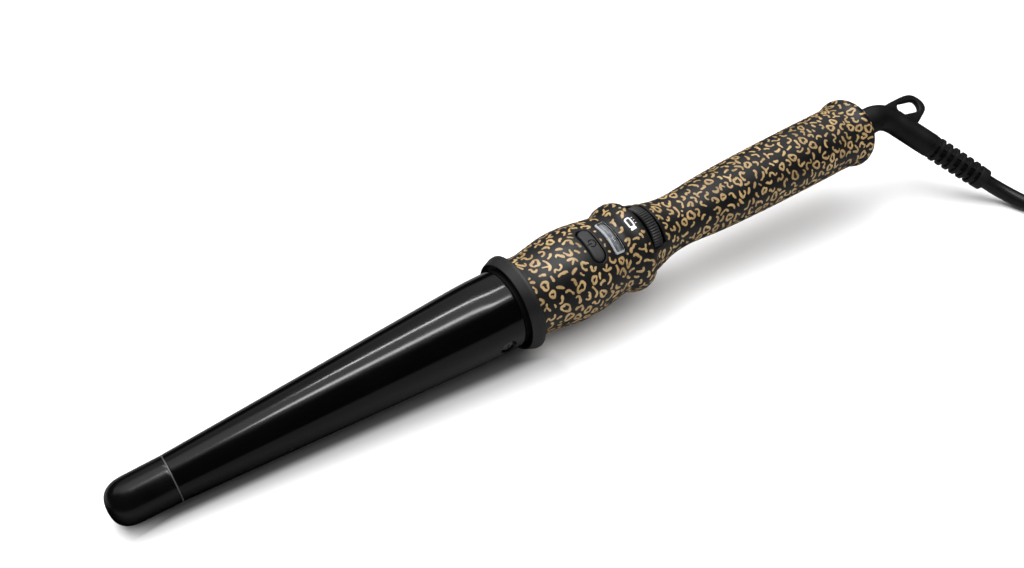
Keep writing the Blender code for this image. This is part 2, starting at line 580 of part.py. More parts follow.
# ---------------------------------------------------------------------- cord
# The cord is fixed to the strain relief. Its far part lies on the surface
# that the wand rests on.
tilt = Matrix.Rotation(math.radians(-TILT_DEG), 3, "Y")
turned = tilt @ Matrix.Rotation(math.radians(SWIVEL_DEG), 3, "X")
hub = Vector((0, 0, AXIS_HEIGHT))
leave = hub + turned @ (bend_at + leg * (LEG_END + 0.3))
heading = turned @ leg
cord_frame = empty("cord_frame", world)
ahead = leave + heading * 5.0
tube("cord_lead", catmull([
    tuple(leave), tuple(ahead), (255.0, -52.4, 4.9), (256.9, -59.0, 3.75), (260.3, -67.0, 3.56), (266.0, -74.5, 3.55),
    (273.5, -80.2, 3.55), (282.2, -83.8, 3.55), (291.5, -85.0, 3.55), (320.0, -85.0, 3.55), (350.0, -85.0, 3.55),
    (COIL_X - 27.6, -85.0, 3.55),
], 10.0), CORD_R, "cord_pvc", cord_frame, 3)

coil_bm = lathe([(0.3, COIL_R_IN + 2.5), (0.3, COIL_R_OUT - 2.5), (2.8, COIL_R_OUT), (COIL_H - 2.8, COIL_R_OUT),
                 (COIL_H - 0.2, COIL_R_OUT - 2.8), (COIL_H - 0.2, COIL_R_IN + 2.8), (COIL_H - 2.8, COIL_R_IN), (2.8, COIL_R_IN)], 48)
stand = Matrix.Translation((COIL_X, COIL_Y, 0)) @ Matrix.Rotation(math.radians(-90), 4, "Y")
bmesh.ops.transform(coil_bm, matrix=stand, verts=coil_bm.verts)
coil = put("cord_coil", coil_bm, "cord_pvc", cord_frame)
# Strap round the bundle, let into it so that nothing reaches below the surface.
TIE_DEG = -60.0
mid = (COIL_R_IN + COIL_R_OUT) / 2
wide = (COIL_R_OUT - COIL_R_IN) / 2


def strap(grow, y_half):
    bm = box(mid - wide - grow, mid + wide + grow, -y_half, y_half, 0.3 - grow, COIL_H - 0.2 + grow)
    return bm


def spin(bm):
    bmesh.ops.transform(bm, matrix=Matrix.Translation((COIL_X, COIL_Y, 0)) @ Matrix.Rotation(math.radians(TIE_DEG), 4, "Z"),
                        verts=bm.verts)
    return bm


groove = put("helper_groove", spin(strap(2.0, 5.3)), None, cord_frame, hidden=True)
mod = groove.modifiers.new("hollow", "BOOLEAN")
mod.operation, mod.solver = "DIFFERENCE", "EXACT"
mod.object = put("helper_core", spin(box(mid - wide + 1.4, mid + wide - 1.4, -8, 8, 1.7, COIL_H - 1.6)), None, cord_frame, hidden=True)
mod = coil.modifiers.new("tie_groove", "BOOLEAN")
mod.operation, mod.solver, mod.object = "DIFFERENCE", "EXACT", groove
tie = put("cord_tie", spin(strap(-0.1, 5.0)), "relief_rubber", cord_frame)
cut(tie, spin(box(mid - wide + 1.1, mid + wide - 1.1, -8, 8, 1.4, COIL_H - 1.3)), cord_frame)

# Two-pin plug, lying on its broad side on top of the coil.
PLUG_X, PLUG_Y, PLUG_DEG = COIL_X - 1.0, COIL_Y + 32.0, 180.0
PLUG_Z = COIL_H - 0.2
plug_frame = empty("plug_frame", cord_frame, Matrix.Translation((PLUG_X * MM, PLUG_Y * MM, PLUG_Z * MM)) @ Matrix.Rotation(math.radians(PLUG_DEG), 4, "Z"))
plug = put("plug_body", prism([(-10, -5.2), (-4, -8.6), (4, -13.2), (20.0, -14.0), (25.0, -14.0), (25.0, 14.0), (20.0, 14.0), (4, 13.2), (-4, 8.6), (-10, 5.2)],
                              0.3, 13.9), "cord_pvc", plug_frame)
plug.modifiers.new("edges", "BEVEL").width = 0.0009
plug.modifiers["edges"].segments = 1
for name, y in (("plug_pin_live", 9.3), ("plug_pin_neutral", -9.3)):
    put(name, rod((25.3, y, 7.1), (44.0, y, 7.1), 2.0, 12), "brass", plug_frame)
# Last stretch of the cord: it comes up off the outer turn and bends in over
# the coil to the plug.
back = Vector((PLUG_X + 10.7, PLUG_Y, PLUG_Z + 7.1))
bend_x, bend_y, bend_r = COIL_X + 21.25, COIL_Y + 4.1, 28.0
tail = [tuple(back), (back.x + 5.0, back.y, back.z)]
for angle, height in ((88, 20.9), (70, 19.6), (56, 18.4), (42, 18.0)):
    tail.append((bend_x + bend_r * math.cos(math.radians(angle)), bend_y + bend_r * math.sin(math.radians(angle)), height))
tube("cord_tail", catmull(tail, 9.0), CORD_R, "cord_pvc", cord_frame, 3)
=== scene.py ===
import json
import math

import bmesh
import bpy
import numpy as np
from mathutils import Matrix, Vector
from mathutils.geometry import delaunay_2d_cdt


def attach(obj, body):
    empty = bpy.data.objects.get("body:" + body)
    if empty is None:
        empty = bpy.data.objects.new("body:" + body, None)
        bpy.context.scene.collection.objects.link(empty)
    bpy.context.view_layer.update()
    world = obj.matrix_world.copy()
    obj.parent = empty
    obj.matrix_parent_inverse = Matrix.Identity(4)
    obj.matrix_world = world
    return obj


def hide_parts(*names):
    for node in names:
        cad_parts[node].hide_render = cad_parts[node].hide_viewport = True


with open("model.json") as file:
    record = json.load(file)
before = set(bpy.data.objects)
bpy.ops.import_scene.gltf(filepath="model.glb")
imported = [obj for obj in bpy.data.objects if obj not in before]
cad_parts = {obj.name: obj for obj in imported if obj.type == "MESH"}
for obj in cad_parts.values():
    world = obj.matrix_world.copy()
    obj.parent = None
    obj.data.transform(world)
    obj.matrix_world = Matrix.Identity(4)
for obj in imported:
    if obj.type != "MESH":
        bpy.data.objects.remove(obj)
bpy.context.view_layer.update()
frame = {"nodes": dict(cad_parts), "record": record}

MM = 0.001
SCENE = bpy.context.scene.collection

# ---------------------------------------------------------------- the frames
SHIFT_X, SHIFT_Y, AXIS_H = -48.014, 12.363, 19.71
WORLD = Matrix.Translation((SHIFT_X * MM, SHIFT_Y * MM, 0))
AXIS = Matrix.Translation((SHIFT_X * MM, SHIFT_Y * MM, AXIS_H * MM)) @ Matrix.Rotation(math.radians(-4.31), 4, "Y")
GRIP = AXIS @ Matrix.Rotation(math.radians(22.5), 4, "X")
SWIVEL = AXIS @ Matrix.Rotation(math.radians(124.3), 4, "X")

# ---------------------------------------------------------------- the camera
cam = bpy.data.objects.new("camera", bpy.data.cameras.new("camera"))
cam.data.sensor_width = 36.0
cam.data.lens = 1000.0 / 1024.0 * 36.0
cam.data.clip_start, cam.data.clip_end = 0.01, 30.0
SCENE.objects.link(cam)
right, up, back = (0.8228973, -0.5681901, 0.0), (0.3550275, 0.5141785, 0.7807535), (-0.4436164, -0.6424799, 0.6248392)
cam.matrix_world = Matrix([
    (right[0], up[0], back[0], -0.213722),
    (right[1], up[1], back[1], -0.233580),
    (right[2], up[2], back[2], 0.269157),
    (0, 0, 0, 1),
])
bpy.context.scene.camera = cam


# ----------------------------------------------------------------- materials
def principled(name, rgb, rough, metal=0.0, coat=0.0, coat_rough=0.03, spec=0.5, sheen=0.0):
    mat = bpy.data.materials.new(name)
    mat.use_nodes = True
    n = mat.node_tree.nodes["Principled BSDF"]
    n.inputs["Base Color"].default_value = (*rgb, 1.0)
    n.inputs["Roughness"].default_value = rough
    n.inputs["Metallic"].default_value = metal
    n.inputs["Coat Weight"].default_value = coat
    n.inputs["Coat Roughness"].default_value = coat_rough
    n.inputs["Specular IOR Level"].default_value = spec
    n.inputs["Sheen Weight"].default_value = sheen
    mat.diffuse_color = (*rgb, 1.0)
    return mat, mat.node_tree, n


def coords(nt, scale, stretch=(1, 1, 1)):
    """Object coordinates in millimetres times scale."""
    tc = nt.nodes.new("ShaderNodeTexCoord")
    mp = nt.nodes.new("ShaderNodeMapping")
    mp.inputs["Scale"].default_value = [1000.0 * scale * s for s in stretch]
    nt.links.new(tc.outputs["Object"], mp.inputs["Vector"])
    return mp.outputs["Vector"]


def noise(nt, vector, scale=1.0, detail=3.0, rough=0.55, distortion=0.0):
    n = nt.nodes.new("ShaderNodeTexNoise")
    n.inputs["Scale"].default_value = scale
    n.inputs["Detail"].default_value = detail
    n.inputs["Roughness"].default_value = rough
    n.inputs["Distortion"].default_value = distortion
    nt.links.new(vector, n.inputs["Vector"])
    return n.outputs["Fac"]


def span(nt, value, lo, hi, a, b, smooth=False):
    """value from lo..hi to a..b, held at the ends."""
    m = nt.nodes.new("ShaderNodeMapRange")
    m.interpolation_type = "SMOOTHSTEP" if smooth else "LINEAR"
    m.inputs["From Min"].default_value, m.inputs["From Max"].default_value = lo, hi
    m.inputs["To Min"].default_value, m.inputs["To Max"].default_value = a, b
    nt.links.new(value, m.inputs["Value"])
    return m.outputs["Result"]


def bump(nt, target, height, depth_mm, strength=1.0, after=None):
    b = nt.nodes.new("ShaderNodeBump")
    b.inputs["Strength"].default_value = strength
    b.inputs["Distance"].default_value = depth_mm * MM
    nt.links.new(height, b.inputs["Height"])
    if after is not None:
        nt.links.new(after, b.inputs["Normal"])
    nt.links.new(b.outputs["Normal"], target.inputs["Normal"])
    return b.outputs["Normal"]


def tint(nt, fac, a, b):
    m = nt.nodes.new("ShaderNodeMix")
    m.data_type = "RGBA"
    m.inputs[6].default_value, m.inputs[7].default_value = (*a, 1.0), (*b, 1.0)
    nt.links.new(fac, m.inputs[0])
    return m.outputs[2]


def moulded(name, rgb, rough, grain=0.35, depth=0.012, spread=0.06, vary=0.25, **more):
    """Moulded plastic or rubber: a fine grain, with colour and gloss that vary a little."""
    mat, nt, n = principled(name, rgb, rough, **more)
    fine = noise(nt, coords(nt, 1.0 / grain), 1.0, 2.0, 0.6)
    broad = noise(nt, coords(nt, 0.09), 1.0, 4.0, 0.6)
    nt.links.new(span(nt, broad, 0.3, 0.7, rough - spread, rough + spread), n.inputs["Roughness"])
    low = [c * (1 - vary) for c in rgb]
    high = [c * (1 + vary) for c in rgb]
    nt.links.new(tint(nt, span(nt, broad, 0.35, 0.65, 0, 1), low, high), n.inputs["Base Color"])
    bump(nt, n, fine, depth)
    return mat


def metal(name, rgb, rough, stretch=(0.08, 1, 1)):
    mat, nt, n = principled(name, rgb, rough, metal=1.0)
    lines = noise(nt, coords(nt, 4.0, stretch), 1.0, 3.0, 0.6)
    nt.links.new(span(nt, lines, 0.3, 0.7, rough - 0.08, rough + 0.1), n.inputs["Roughness"])
    nt.links.new(tint(nt, lines, [c * 0.85 for c in rgb], rgb), n.inputs["Base Color"])
    bump(nt, n, lines, 0.004)
    return mat


# Barrel: black glazed ceramic, with faint drawing marks along it and a very
# slight waviness of the coat.
barrel_mat, nt, n = principled("barrel_ceramic", (0.0012, 0.0012, 0.0014), 0.13, spec=0.32)
marks = noise(nt, coords(nt, 0.9, (0.06, 1, 1)), 1.0, 3.0, 0.6)
broad = noise(nt, coords(nt, 0.05), 1.0, 3.0, 0.5)
nt.links.new(span(nt, marks, 0.25, 0.75, 0.105, 0.165), n.inputs["Roughness"])
nt.links.new(tint(nt, broad, (0.0008, 0.0008, 0.0009), (0.0018, 0.0018, 0.0020)), n.inputs["Base Color"])
bump(nt, n, broad, 0.03, 0.5)

tip_mat = moulded("tip_plastic", (0.0022, 0.0022, 0.0024), 0.21, grain=0.5, depth=0.005, spread=0.04, spec=0.35)
# Pale grey that paints the highlight along the seam between tip and barrel.
seam_highlight_mat = moulded("seam_painted_highlight", (0.050, 0.050, 0.052), 0.38, grain=0.6, depth=0.004, vary=0.3)
# Black that paints shade. It goes into gaps, grooves, wells and hollows that lie in shade: the barrel's root under the
# collar, cut grooves and wells, the shell's inside and opening walls, the dial's flanks, the relief's core and the
# elbow's pip.
shade_black_mat = moulded("barrel_root_and_painted_shade", (0.0025, 0.0025, 0.0025), 0.7, spec=0.15)
collar_mat = moulded("collar_plastic", (0.010, 0.010, 0.0105), 0.50, grain=0.30, depth=0.016, spread=0.04, spec=0.34)
key_mat = moulded("key_plastic", (0.022, 0.022, 0.0225), 0.52, grain=0.25, depth=0.014, spec=0.35)
dial_mat = moulded("dial_plastic", (0.014, 0.014, 0.0145), 0.46, grain=0.3, depth=0.010, spec=0.36)
swivel_mat = moulded("swivel_plastic", (0.0045, 0.0045, 0.0048), 0.42, grain=0.35, depth=0.008, spread=0.05, spec=0.22)
relief_mat = moulded("relief_rubber", (0.0050, 0.0050, 0.0053), 0.48, grain=0.3, depth=0.014, spec=0.28)
cord_mat = moulded("cord_pvc", (0.0055, 0.0055, 0.0058), 0.40, grain=0.6, depth=0.010, spec=0.30)
plug_mat = moulded("plug_pvc", (0.010, 0.010, 0.0105), 0.46, grain=0.3, depth=0.016)
tie_mat = moulded("tie_rubber", (0.014, 0.014, 0.0145), 0.55, grain=0.4, depth=0.02)
dark_mat = moulded("component_black", (0.014, 0.014, 0.014), 0.45)
phenolic_mat = moulded("phenolic", (0.20, 0.09, 0.04), 0.55)
ceramic_mat = moulded("heater_ceramic", (0.75, 0.74, 0.70), 0.55, vary=0.06)
mica_mat = moulded("mica", (0.72, 0.66, 0.50), 0.35, grain=1.2, vary=0.12)
lead_mat = moulded("lead_insulation", (0.55, 0.05, 0.04), 0.45, vary=0.1)
steel_mat = metal("steel", (0.62, 0.62, 0.63), 0.32)
screw_mat = moulded("blackened_steel", (0.020, 0.020, 0.021), 0.30, grain=0.8, depth=0.004)
brass_mat = metal("brass", (0.78, 0.58, 0.28), 0.28)
nickel_mat = metal("nickel", (0.70, 0.68, 0.64), 0.22)
aluminium_mat = metal("aluminium", (0.75, 0.75, 0.77), 0.38)

# Board: green mask over a faint pattern of tracks.
board_mat, nt, n = principled("pcb_green", (0.02, 0.16, 0.06), 0.35)
brick = nt.nodes.new("ShaderNodeTexVoronoi")
brick.distance = "CHEBYCHEV"
nt.links.new(coords(nt, 0.7), brick.inputs["Vector"])
nt.links.new(tint(nt, span(nt, brick.outputs["Distance"], 0.35, 0.4, 0, 1), (0.02, 0.16, 0.06), (0.035, 0.24, 0.09)), n.inputs["Base Color"])

# Display: brushed silver-grey reflector behind the lens.
display_mat, nt, n = principled("display_grey", (0.30, 0.31, 0.32), 0.30, metal=0.15)
streak = noise(nt, coords(nt, 1.3, (1.0, 0.25, 0.25)), 1.0, 4.0, 0.6)
nt.links.new(tint(nt, span(nt, streak, 0.3, 0.7, 0, 1), (0.12, 0.125, 0.13), (0.72, 0.73, 0.75)), n.inputs["Base Color"])
nt.links.new(span(nt, streak, 0.3, 0.7, 0.22, 0.40), n.inputs["Roughness"])

# Lens: clear, with a sharp reflection that grows at a slant.
lens_mat = bpy.data.materials.new("window_clear")
lens_mat.use_nodes = True
nt = lens_mat.node_tree
nt.nodes.remove(nt.nodes["Principled BSDF"])
clear, gloss, mix, fres = (nt.nodes.new(t) for t in ("ShaderNodeBsdfTransparent", "ShaderNodeBsdfGlossy", "ShaderNodeMixShader", "ShaderNodeFresnel"))
clear.inputs["Color"].default_value = (0.80, 0.81, 0.82, 1)
gloss.inputs["Roughness"].default_value = 0.03
fres.inputs["IOR"].default_value = 1.55
nt.links.new(fres.outputs[0], mix.inputs[0])
nt.links.new(clear.outputs[0], mix.inputs[1])
nt.links.new(gloss.outputs[0], mix.inputs[2])
nt.links.new(mix.outputs[0], nt.nodes["Material Output"].inputs["Surface"])
lens_mat.diffuse_color = (0.5, 0.5, 0.5, 0.4)


# Handle: black soft-touch coat. The print on it is a thin layer of gold ink,
# mottled as it is laid on; the small index mark is white ink.
shell_mat = moulded("shell_coat", (0.0060, 0.0060, 0.0064), 0.44, grain=0.33, depth=0.010, spread=0.05, spec=0.34)
gold_mat, nt, n = principled("gold_ink", (0.30, 0.20, 0.085), 0.38)
fade = noise(nt, coords(nt, 0.10), 1.0, 4.0, 0.65)
speck = noise(nt, coords(nt, 1.7), 1.0, 2.0, 0.6)
blotch = nt.nodes.new("ShaderNodeMath")
blotch.operation = "MULTIPLY_ADD"
blotch.inputs[1].default_value, blotch.inputs[2].default_value = 0.35, 0.0
nt.links.new(speck, blotch.inputs[0])
both = nt.nodes.new("ShaderNodeMath")
both.operation = "ADD"
nt.links.new(fade, both.inputs[0])
nt.links.new(blotch.outputs[0], both.inputs[1])
nt.links.new(tint(nt, span(nt, both.outputs[0], 0.48, 0.88, 0, 1), (0.215, 0.135, 0.050), (0.52, 0.355, 0.160)), n.inputs["Base Color"])
nt.links.new(span(nt, speck, 0.3, 0.7, 0.30, 0.46), n.inputs["Roughness"])
bump(nt, n, noise(nt, coords(nt, 3.0), 1.0, 2.0, 0.6), 0.010)
ink_edge_mat = moulded("gold_ink_edge", (0.105, 0.066, 0.028), 0.45, grain=0.6, depth=0.004, vary=0.35)
white_mat = moulded("white_ink", (0.80, 0.80, 0.80), 0.42, vary=0.05)
# Light grey that paints the bright highlight along the lens's bevelled edge.
edge_mat = moulded("lens_edge_painted_highlight", (0.42, 0.43, 0.45), 0.16, grain=0.8, depth=0.004, vary=0.3, spread=0.05)


# ------------------------------------------------------------- mesh helpers
def make(name, verts, faces, matrix, mats, body, slot=None, replaces=(), sharp=38.0, face_mats=None):
    """A mesh from points in millimetres in a frame, made in place in the row frame."""
    v = np.asarray(verts, float) * MM
    m = np.array(matrix, float)
    v = v @ m[:3, :3].T + m[:3, 3]
    mesh = bpy.data.meshes.new(name)
    mesh.from_pydata(v.tolist(), [], faces)
    mesh.update()
    for mat in mats if isinstance(mats, (list, tuple)) else [mats]:
        mesh.materials.append(mat)
    if face_mats is not None:
        mesh.polygons.foreach_set("material_index", face_mats)
    bm = bmesh.new()
    bm.from_mesh(mesh)
    bmesh.ops.recalc_face_normals(bm, faces=bm.faces)
    bm.to_mesh(mesh)
    bm.free()
    mesh.shade_smooth()
    mesh.set_sharp_from_angle(angle=math.radians(sharp))
    obj = bpy.data.objects.new(name, mesh)
    SCENE.objects.link(obj)
    return place(obj, body, slot, replaces)


def place(obj, body, slot=None, replaces=()):
    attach(obj, body)
    if replaces:
        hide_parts(*replaces)
    return obj


def fillet(points, closed=True, steps=6):
    """A profile of (s, r, radius) corners, each rounded by its radius."""
    out = []
    n = len(points)
    for i, (x, y, rad) in enumerate(points):
        if rad <= 0 or (not closed and i in (0, n - 1)):
            out.append((x, y))
            continue
        p, a, b = Vector((x, y)), Vector(points[i - 1][:2]), Vector(points[(i + 1) % n][:2])
        u, w = (a - p), (b - p)
        lu, lw = u.length, w.length
        u.normalize(), w.normalize()
        ang = math.acos(max(-1, min(1, u.dot(w))))
        if ang > math.pi - 0.02:
            out.append((x, y))
            continue
        cut = min(rad / math.tan(ang / 2), lu * 0.48, lw * 0.48)
        r = cut * math.tan(ang / 2)
        mid = (u + w).normalized() * (r / math.sin(ang / 2))
        c = p + mid
        p0, p1 = p + u * cut, p + w * cut
        a0 = math.atan2(p0.y - c.y, p0.x - c.x)
        d = math.atan2(p1.y - c.y, p1.x - c.x) - a0
        d = (d + math.pi) % (2 * math.pi) - math.pi
        out += [(c.x + r * math.cos(a0 + d * k / steps), c.y + r * math.sin(a0 + d * k / steps)) for k in range(steps + 1)]
    return out


def spline(points, step):
    """A smooth curve through the points, of any number of coordinates, with a point about every step."""
    p = np.asarray(points, float)
    p = np.vstack([2 * p[0] - p[1], p, 2 * p[-1] - p[-2]])
    out = []
    for i in range(1, len(p) - 2):
        p0, p1, p2, p3 = p[i - 1], p[i], p[i + 1], p[i + 2]
        k = [max(np.linalg.norm(b - a), 1e-6) ** 0.5 for a, b in ((p0, p1), (p1, p2), (p2, p3))]
        m1 = (p2 - p1) + k[1] * ((p1 - p0) / k[0] - (p2 - p0) / (k[0] + k[1]))
        m2 = (p2 - p1) + k[1] * ((p3 - p2) / k[2] - (p3 - p1) / (k[1] + k[2]))
        n = max(1, round(np.linalg.norm(p2 - p1) / step))
        for j in range(n):
            t = j / n
            out.append((2 * t**3 - 3 * t**2 + 1) * p1 + (t**3 - 2 * t**2 + t) * m1 + (3 * t**2 - 2 * t**3) * p2 + (t**3 - t**2) * m2)
    out.append(p[-2])
    return np.array(out)


def turned(profile, seg=128, centre=(0.0, 0.0), loop=True):
    """Vertices and faces of a profile turned about X. Angles run from +Z towards -Y. Points at radius 0 become poles."""
    verts, faces, rings = [], [], []
    for s, r in profile:
        if r < 1e-6:
            rings.append([len(verts)])
            verts.append((s, centre[0], centre[1]))
        else:
            rings.append(list(range(len(verts), len(verts) + seg)))
            for k in range(seg):
                t = 2 * math.pi * k / seg
                verts.append((s, centre[0] - r * math.sin(t), centre[1] + r * math.cos(t)))
    pairs = list(zip(rings, rings[1:]))
    if loop and len(rings[0]) > 1 and len(rings[-1]) > 1:
        pairs.append((rings[-1], rings[0]))
    for a, b in pairs:
        for k in range(seg):
            j = (k + 1) % seg
            if len(a) == 1 and len(b) == 1:
                continue
            if len(a) == 1:
                faces.append((a[0], b[k], b[j]))
            elif len(b) == 1:
                faces.append((a[k], b[0], a[j]))
            else:
                faces.append((a[k], b[k], b[j], a[j]))
    return verts, faces


def lathe(name, profile, matrix, mats, body, seg=128, **more):
    verts, faces = turned(profile, seg)
    return make(name, verts, faces, matrix, mats, body, **more)


def frames_along(path):
    """Positions, and two crosswise directions at each, carried along without twist."""
    p = np.asarray(path, float)
    t = np.gradient(p, axis=0)
    t /= np.linalg.norm(t, axis=1)[:, None]
    n = np.cross(t[0], (0, 0, 1.0))
    if np.linalg.norm(n) < 0.2:
        n = np.cross(t[0], (0, 1.0, 0))
    n /= np.linalg.norm(n)
    us = []
    for k in range(len(p)):
        n = n - t[k] * (n @ t[k])
        n /= np.linalg.norm(n)
        us.append(n)
    us = np.array(us)
    return p, us, np.cross(t, us)


def swept(path, radii, seg=32, flat=1.0):
    """A closed tube along a path; flat squeezes it along its second crosswise direction."""
    p, u, w = frames_along(path)
    verts, faces = [], []
    for k in range(len(p)):
        for j in range(seg):
            a = 2 * math.pi * j / seg
            verts.append(p[k] + radii[k] * (u[k] * math.cos(a) + w[k] * math.sin(a) * flat))
    for k in range(len(p) - 1):
        for j in range(seg):
            i = (j + 1) % seg
            faces.append((k * seg + j, k * seg + i, (k + 1) * seg + i, (k + 1) * seg + j))
    faces.append(tuple(range(seg)))
    faces.append(tuple((len(p) - 1) * seg + j for j in range(seg)))
    return [tuple(v) for v in verts], faces


def joined(parts):
    verts, faces = [], []
    for v, f in parts:
        off = len(verts)
        verts += [tuple(x) for x in v]
        faces += [tuple(i + off for i in face) for face in f]
    return verts, faces


def moved(part, matrix_mm):
    v, f = part
    m = np.array(matrix_mm, float)
    return [tuple(x) for x in (np.asarray(v, float) @ m[:3, :3].T + m[:3, 3])], f


def round_rect(hx, hy, rad, n=7):
    """Outline, anticlockwise, of a rectangle of half-sizes hx and hy with rounded corners."""
    pts = []
    for cx, cy, a0 in ((hx - rad, hy - rad, 0), (-hx + rad, hy - rad, 90), (-hx + rad, -hy + rad, 180), (hx - rad, -hy + rad, 270)):
        for k in range(n + 1):
            a = math.radians(a0 + 90.0 * k / n)
            pts.append((cx + rad * math.cos(a), cy + rad * math.sin(a)))
    return pts


def densify(pts, step):
    out = []
    for i, a in enumerate(pts):
        b = pts[(i + 1) % len(pts)]
        n = max(1, math.ceil(math.dist(a, b) / step))
        out += [(a[0] + (b[0] - a[0]) * k / n, a[1] + (b[1] - a[1]) * k / n) for k in range(n)]
    return out


def inside(poly, x, y):
    hit = False
    for i, (x0, y0) in enumerate(poly):
        x1, y1 = poly[i - 1]
        if (y0 > y) != (y1 > y) and x < (x1 - x0) * (y - y0) / (y1 - y0) + x0:
            hit = not hit
    return hit


def inside_many(poly, pts):
    pts = np.asarray(pts, float)
    x, y = pts[:, 0], pts[:, 1]
    hit = np.zeros(len(pts), bool)
    q = np.asarray(poly, float)
    for i in range(len(q)):
        (x0, y0), (x1, y1) = q[i], q[i - 1]
        if y0 == y1:
            continue
        cross = ((y0 > y) != (y1 > y)) & (x < (x1 - x0) * (y - y0) / (y1 - y0) + x0)
        hit ^= cross
    return hit


def near_line(poly, pts):
    """How far each point is from a closed outline."""
    pts, q = np.asarray(pts, float), np.asarray(poly, float)
    best = np.full(len(pts), 1e9)
    for i in range(len(q)):
        a, d = q[i - 1], q[i] - q[i - 1]
        t = np.clip(((pts - a) @ d) / max(d @ d, 1e-12), 0, 1)
        best = np.minimum(best, np.linalg.norm(pts - a - t[:, None] * d, axis=1))
    return best


# -------------------------------------------------------------- the free cord
# It starts in the strain relief, comes down to the surface, runs past the
# view's edge and into a coil of two layers; the last turn comes up over the
# coil to the plug that lies on it.
CX, CY = 410.0, -35.35
LOW, HIGH = 3.55, 10.6
leg_dir = Vector((math.cos(math.radians(59.6)), 0, math.sin(math.radians(59.6))))
to_swivel = Matrix.Rotation(math.radians(-4.31), 3, "Y") @ Matrix.Rotation(math.radians(124.3), 3, "X")
exit_mm = Vector((0, 0, AXIS_H)) + to_swivel @ (Vector((217.5, 0, 0)) + leg_dir * 59.2)
leg_world = to_swivel @ leg_dir
lead = [tuple(exit_mm - leg_world * 2.0), tuple(exit_mm + leg_world * 5.0), (255.0, -52.4, 4.9), (256.9, -59.0, 3.75), (260.3, -67.0, 3.56),
        (266.0, -74.5, 3.55), (273.5, -80.2, 3.55), (282.2, -83.8, 3.55), (291.5, -85.0, 3.55), (310.0, -85.0, 3.55),
        (330.0, -85.0, 3.55), (350.0, -85.0, 3.55), (370.0, -85.0, 3.55), (390.0, -85.0, 3.55)]
R4, R3, R2, R1 = 49.65, 42.5, 35.35, 28.2
turns = [(270, R4, LOW), (565, R4, LOW), (625, R3, LOW), (925, R3, LOW), (985, R2, LOW), (1285, R2, LOW), (1345, R1, LOW),
         (1590, R1, LOW), (1645, R1, HIGH), (1890, R1, HIGH), (1950, R2, HIGH), (2250, R2, HIGH), (2310, R3, HIGH),
         (2610, R3, HIGH), (2670, R4, HIGH), (2840, R4, HIGH), (2891, R4, 14.6)]
wound = []
for (a0, r0, z0), (a1, r1, z1) in zip(turns, turns[1:]):
    count = max(2, round((a1 - a0) / 15))
    for k in range(count):
        t = k / count
        e = t * t * (3 - 2 * t)
        a = math.radians(a0 + (a1 - a0) * t)
        r = r0 + (r1 - r0) * e
        wound.append((CX + r * math.cos(a), CY + r * math.sin(a), z0 + (z1 - z0) * e))
ax0, ay0 = CX + 21.65 * math.cos(math.radians(11)), CY + 21.65 * math.sin(math.radians(11))
over = [(ax0 + 28 * math.cos(math.radians(a)), ay0 + 28 * math.sin(math.radians(a)), z)
        for a, z in ((11, 14.6), (25, 16.2), (39, 17.6), (53, 18.5), (67, 19.5), (80, 20.6), (90, 21.1))]
plug_back = (CX - 1.0 + 10.0, CY + 32.0, 21.2)
run = lead + wound + over + [(plug_back[0] + 6.0, plug_back[1], 21.2), plug_back]
line = spline(run, 3.2) + np.array([SHIFT_X, SHIFT_Y, 0])
cord_curve = bpy.data.curves.new("mains_cord", "CURVE")
cord_curve.dimensions = "3D"
cord_curve.bevel_depth, cord_curve.bevel_resolution, cord_curve.use_fill_caps = 3.5 * MM, 6, True
poly = cord_curve.splines.new("POLY")
poly.points.add(len(line) - 1)
poly.points.foreach_set("co", np.hstack([line * MM, np.ones((len(line), 1))]).ravel())
poly.use_smooth = True
cord_curve.materials.append(cord_mat)
cord_obj = bpy.data.objects.new("mains_cord", cord_curve)
SCENE.objects.link(cord_obj)
place(cord_obj, "cord_swivel", "cord_pvc", ("cord_lead", "cord_coil", "cord_tail"))

# Plug: a flat two-pin body with finger grips and a ribbed boot.
PLUG = Matrix.Translation(((CX - 1.0 + SHIFT_X) * MM, (CY + 32.0 + SHIFT_Y) * MM, 14.1 * MM)) @ Matrix.Rotation(math.pi, 4, "Z")
half_width = spline([(-10, 5.4), (-7, 7.0), (-3, 9.6), (1, 12.0), (4.5, 12.7), (8, 12.0), (12, 11.7), (16, 12.3), (20, 13.5), (23, 13.9), (25, 13.9)], 0.5)
half_high = spline([(-10, 4.6), (-6, 5.4), (0, 6.3), (8, 6.75), (16, 6.8), (25, 6.8)], 0.5)
stations = [(-10.0, 0.55), (-9.9, 0.86), (-9.6, 0.98)] + [(x, 1.0) for x in np.arange(-9.2, 24.0, 0.6)] + [(24.2, 0.998), (24.6, 0.985), (24.9, 0.955), (25.0, 0.90)]
verts, faces = [], []
SEG = 72
for x, k in stations:
    w = float(np.interp(x, half_width[:, 0], half_width[:, 1]))
    h = float(np.interp(x, half_high[:, 0], half_high[:, 1]))
    grip_x = 0.0
    for j in range(SEG):
        a = 2 * math.pi * j / SEG
        c, s = math.cos(a), math.sin(a)
        e = 2.0 / 3.6
        y = w * k * math.copysign(abs(c) ** e, c)
        z = h * (1 - (1 - k) * 0.8) * math.copysign(abs(s) ** e, s)
        # three finger grooves on each edge
        if 3.0 < x < 17.0 and abs(c) > 0.6:
            y -= math.copysign(0.45 * (0.5 - 0.5 * math.cos(2 * math.pi * (x - 3.0) / 3.5)), c)
        verts.append((x, y, 7.1 + z))
for i in range(len(stations) - 1):
    for j in range(SEG):
        q = (j + 1) % SEG
        faces.append((i * SEG + j, i * SEG + q, (i + 1) * SEG + q, (i + 1) * SEG + j))
faces.append(tuple(range(SEG)))
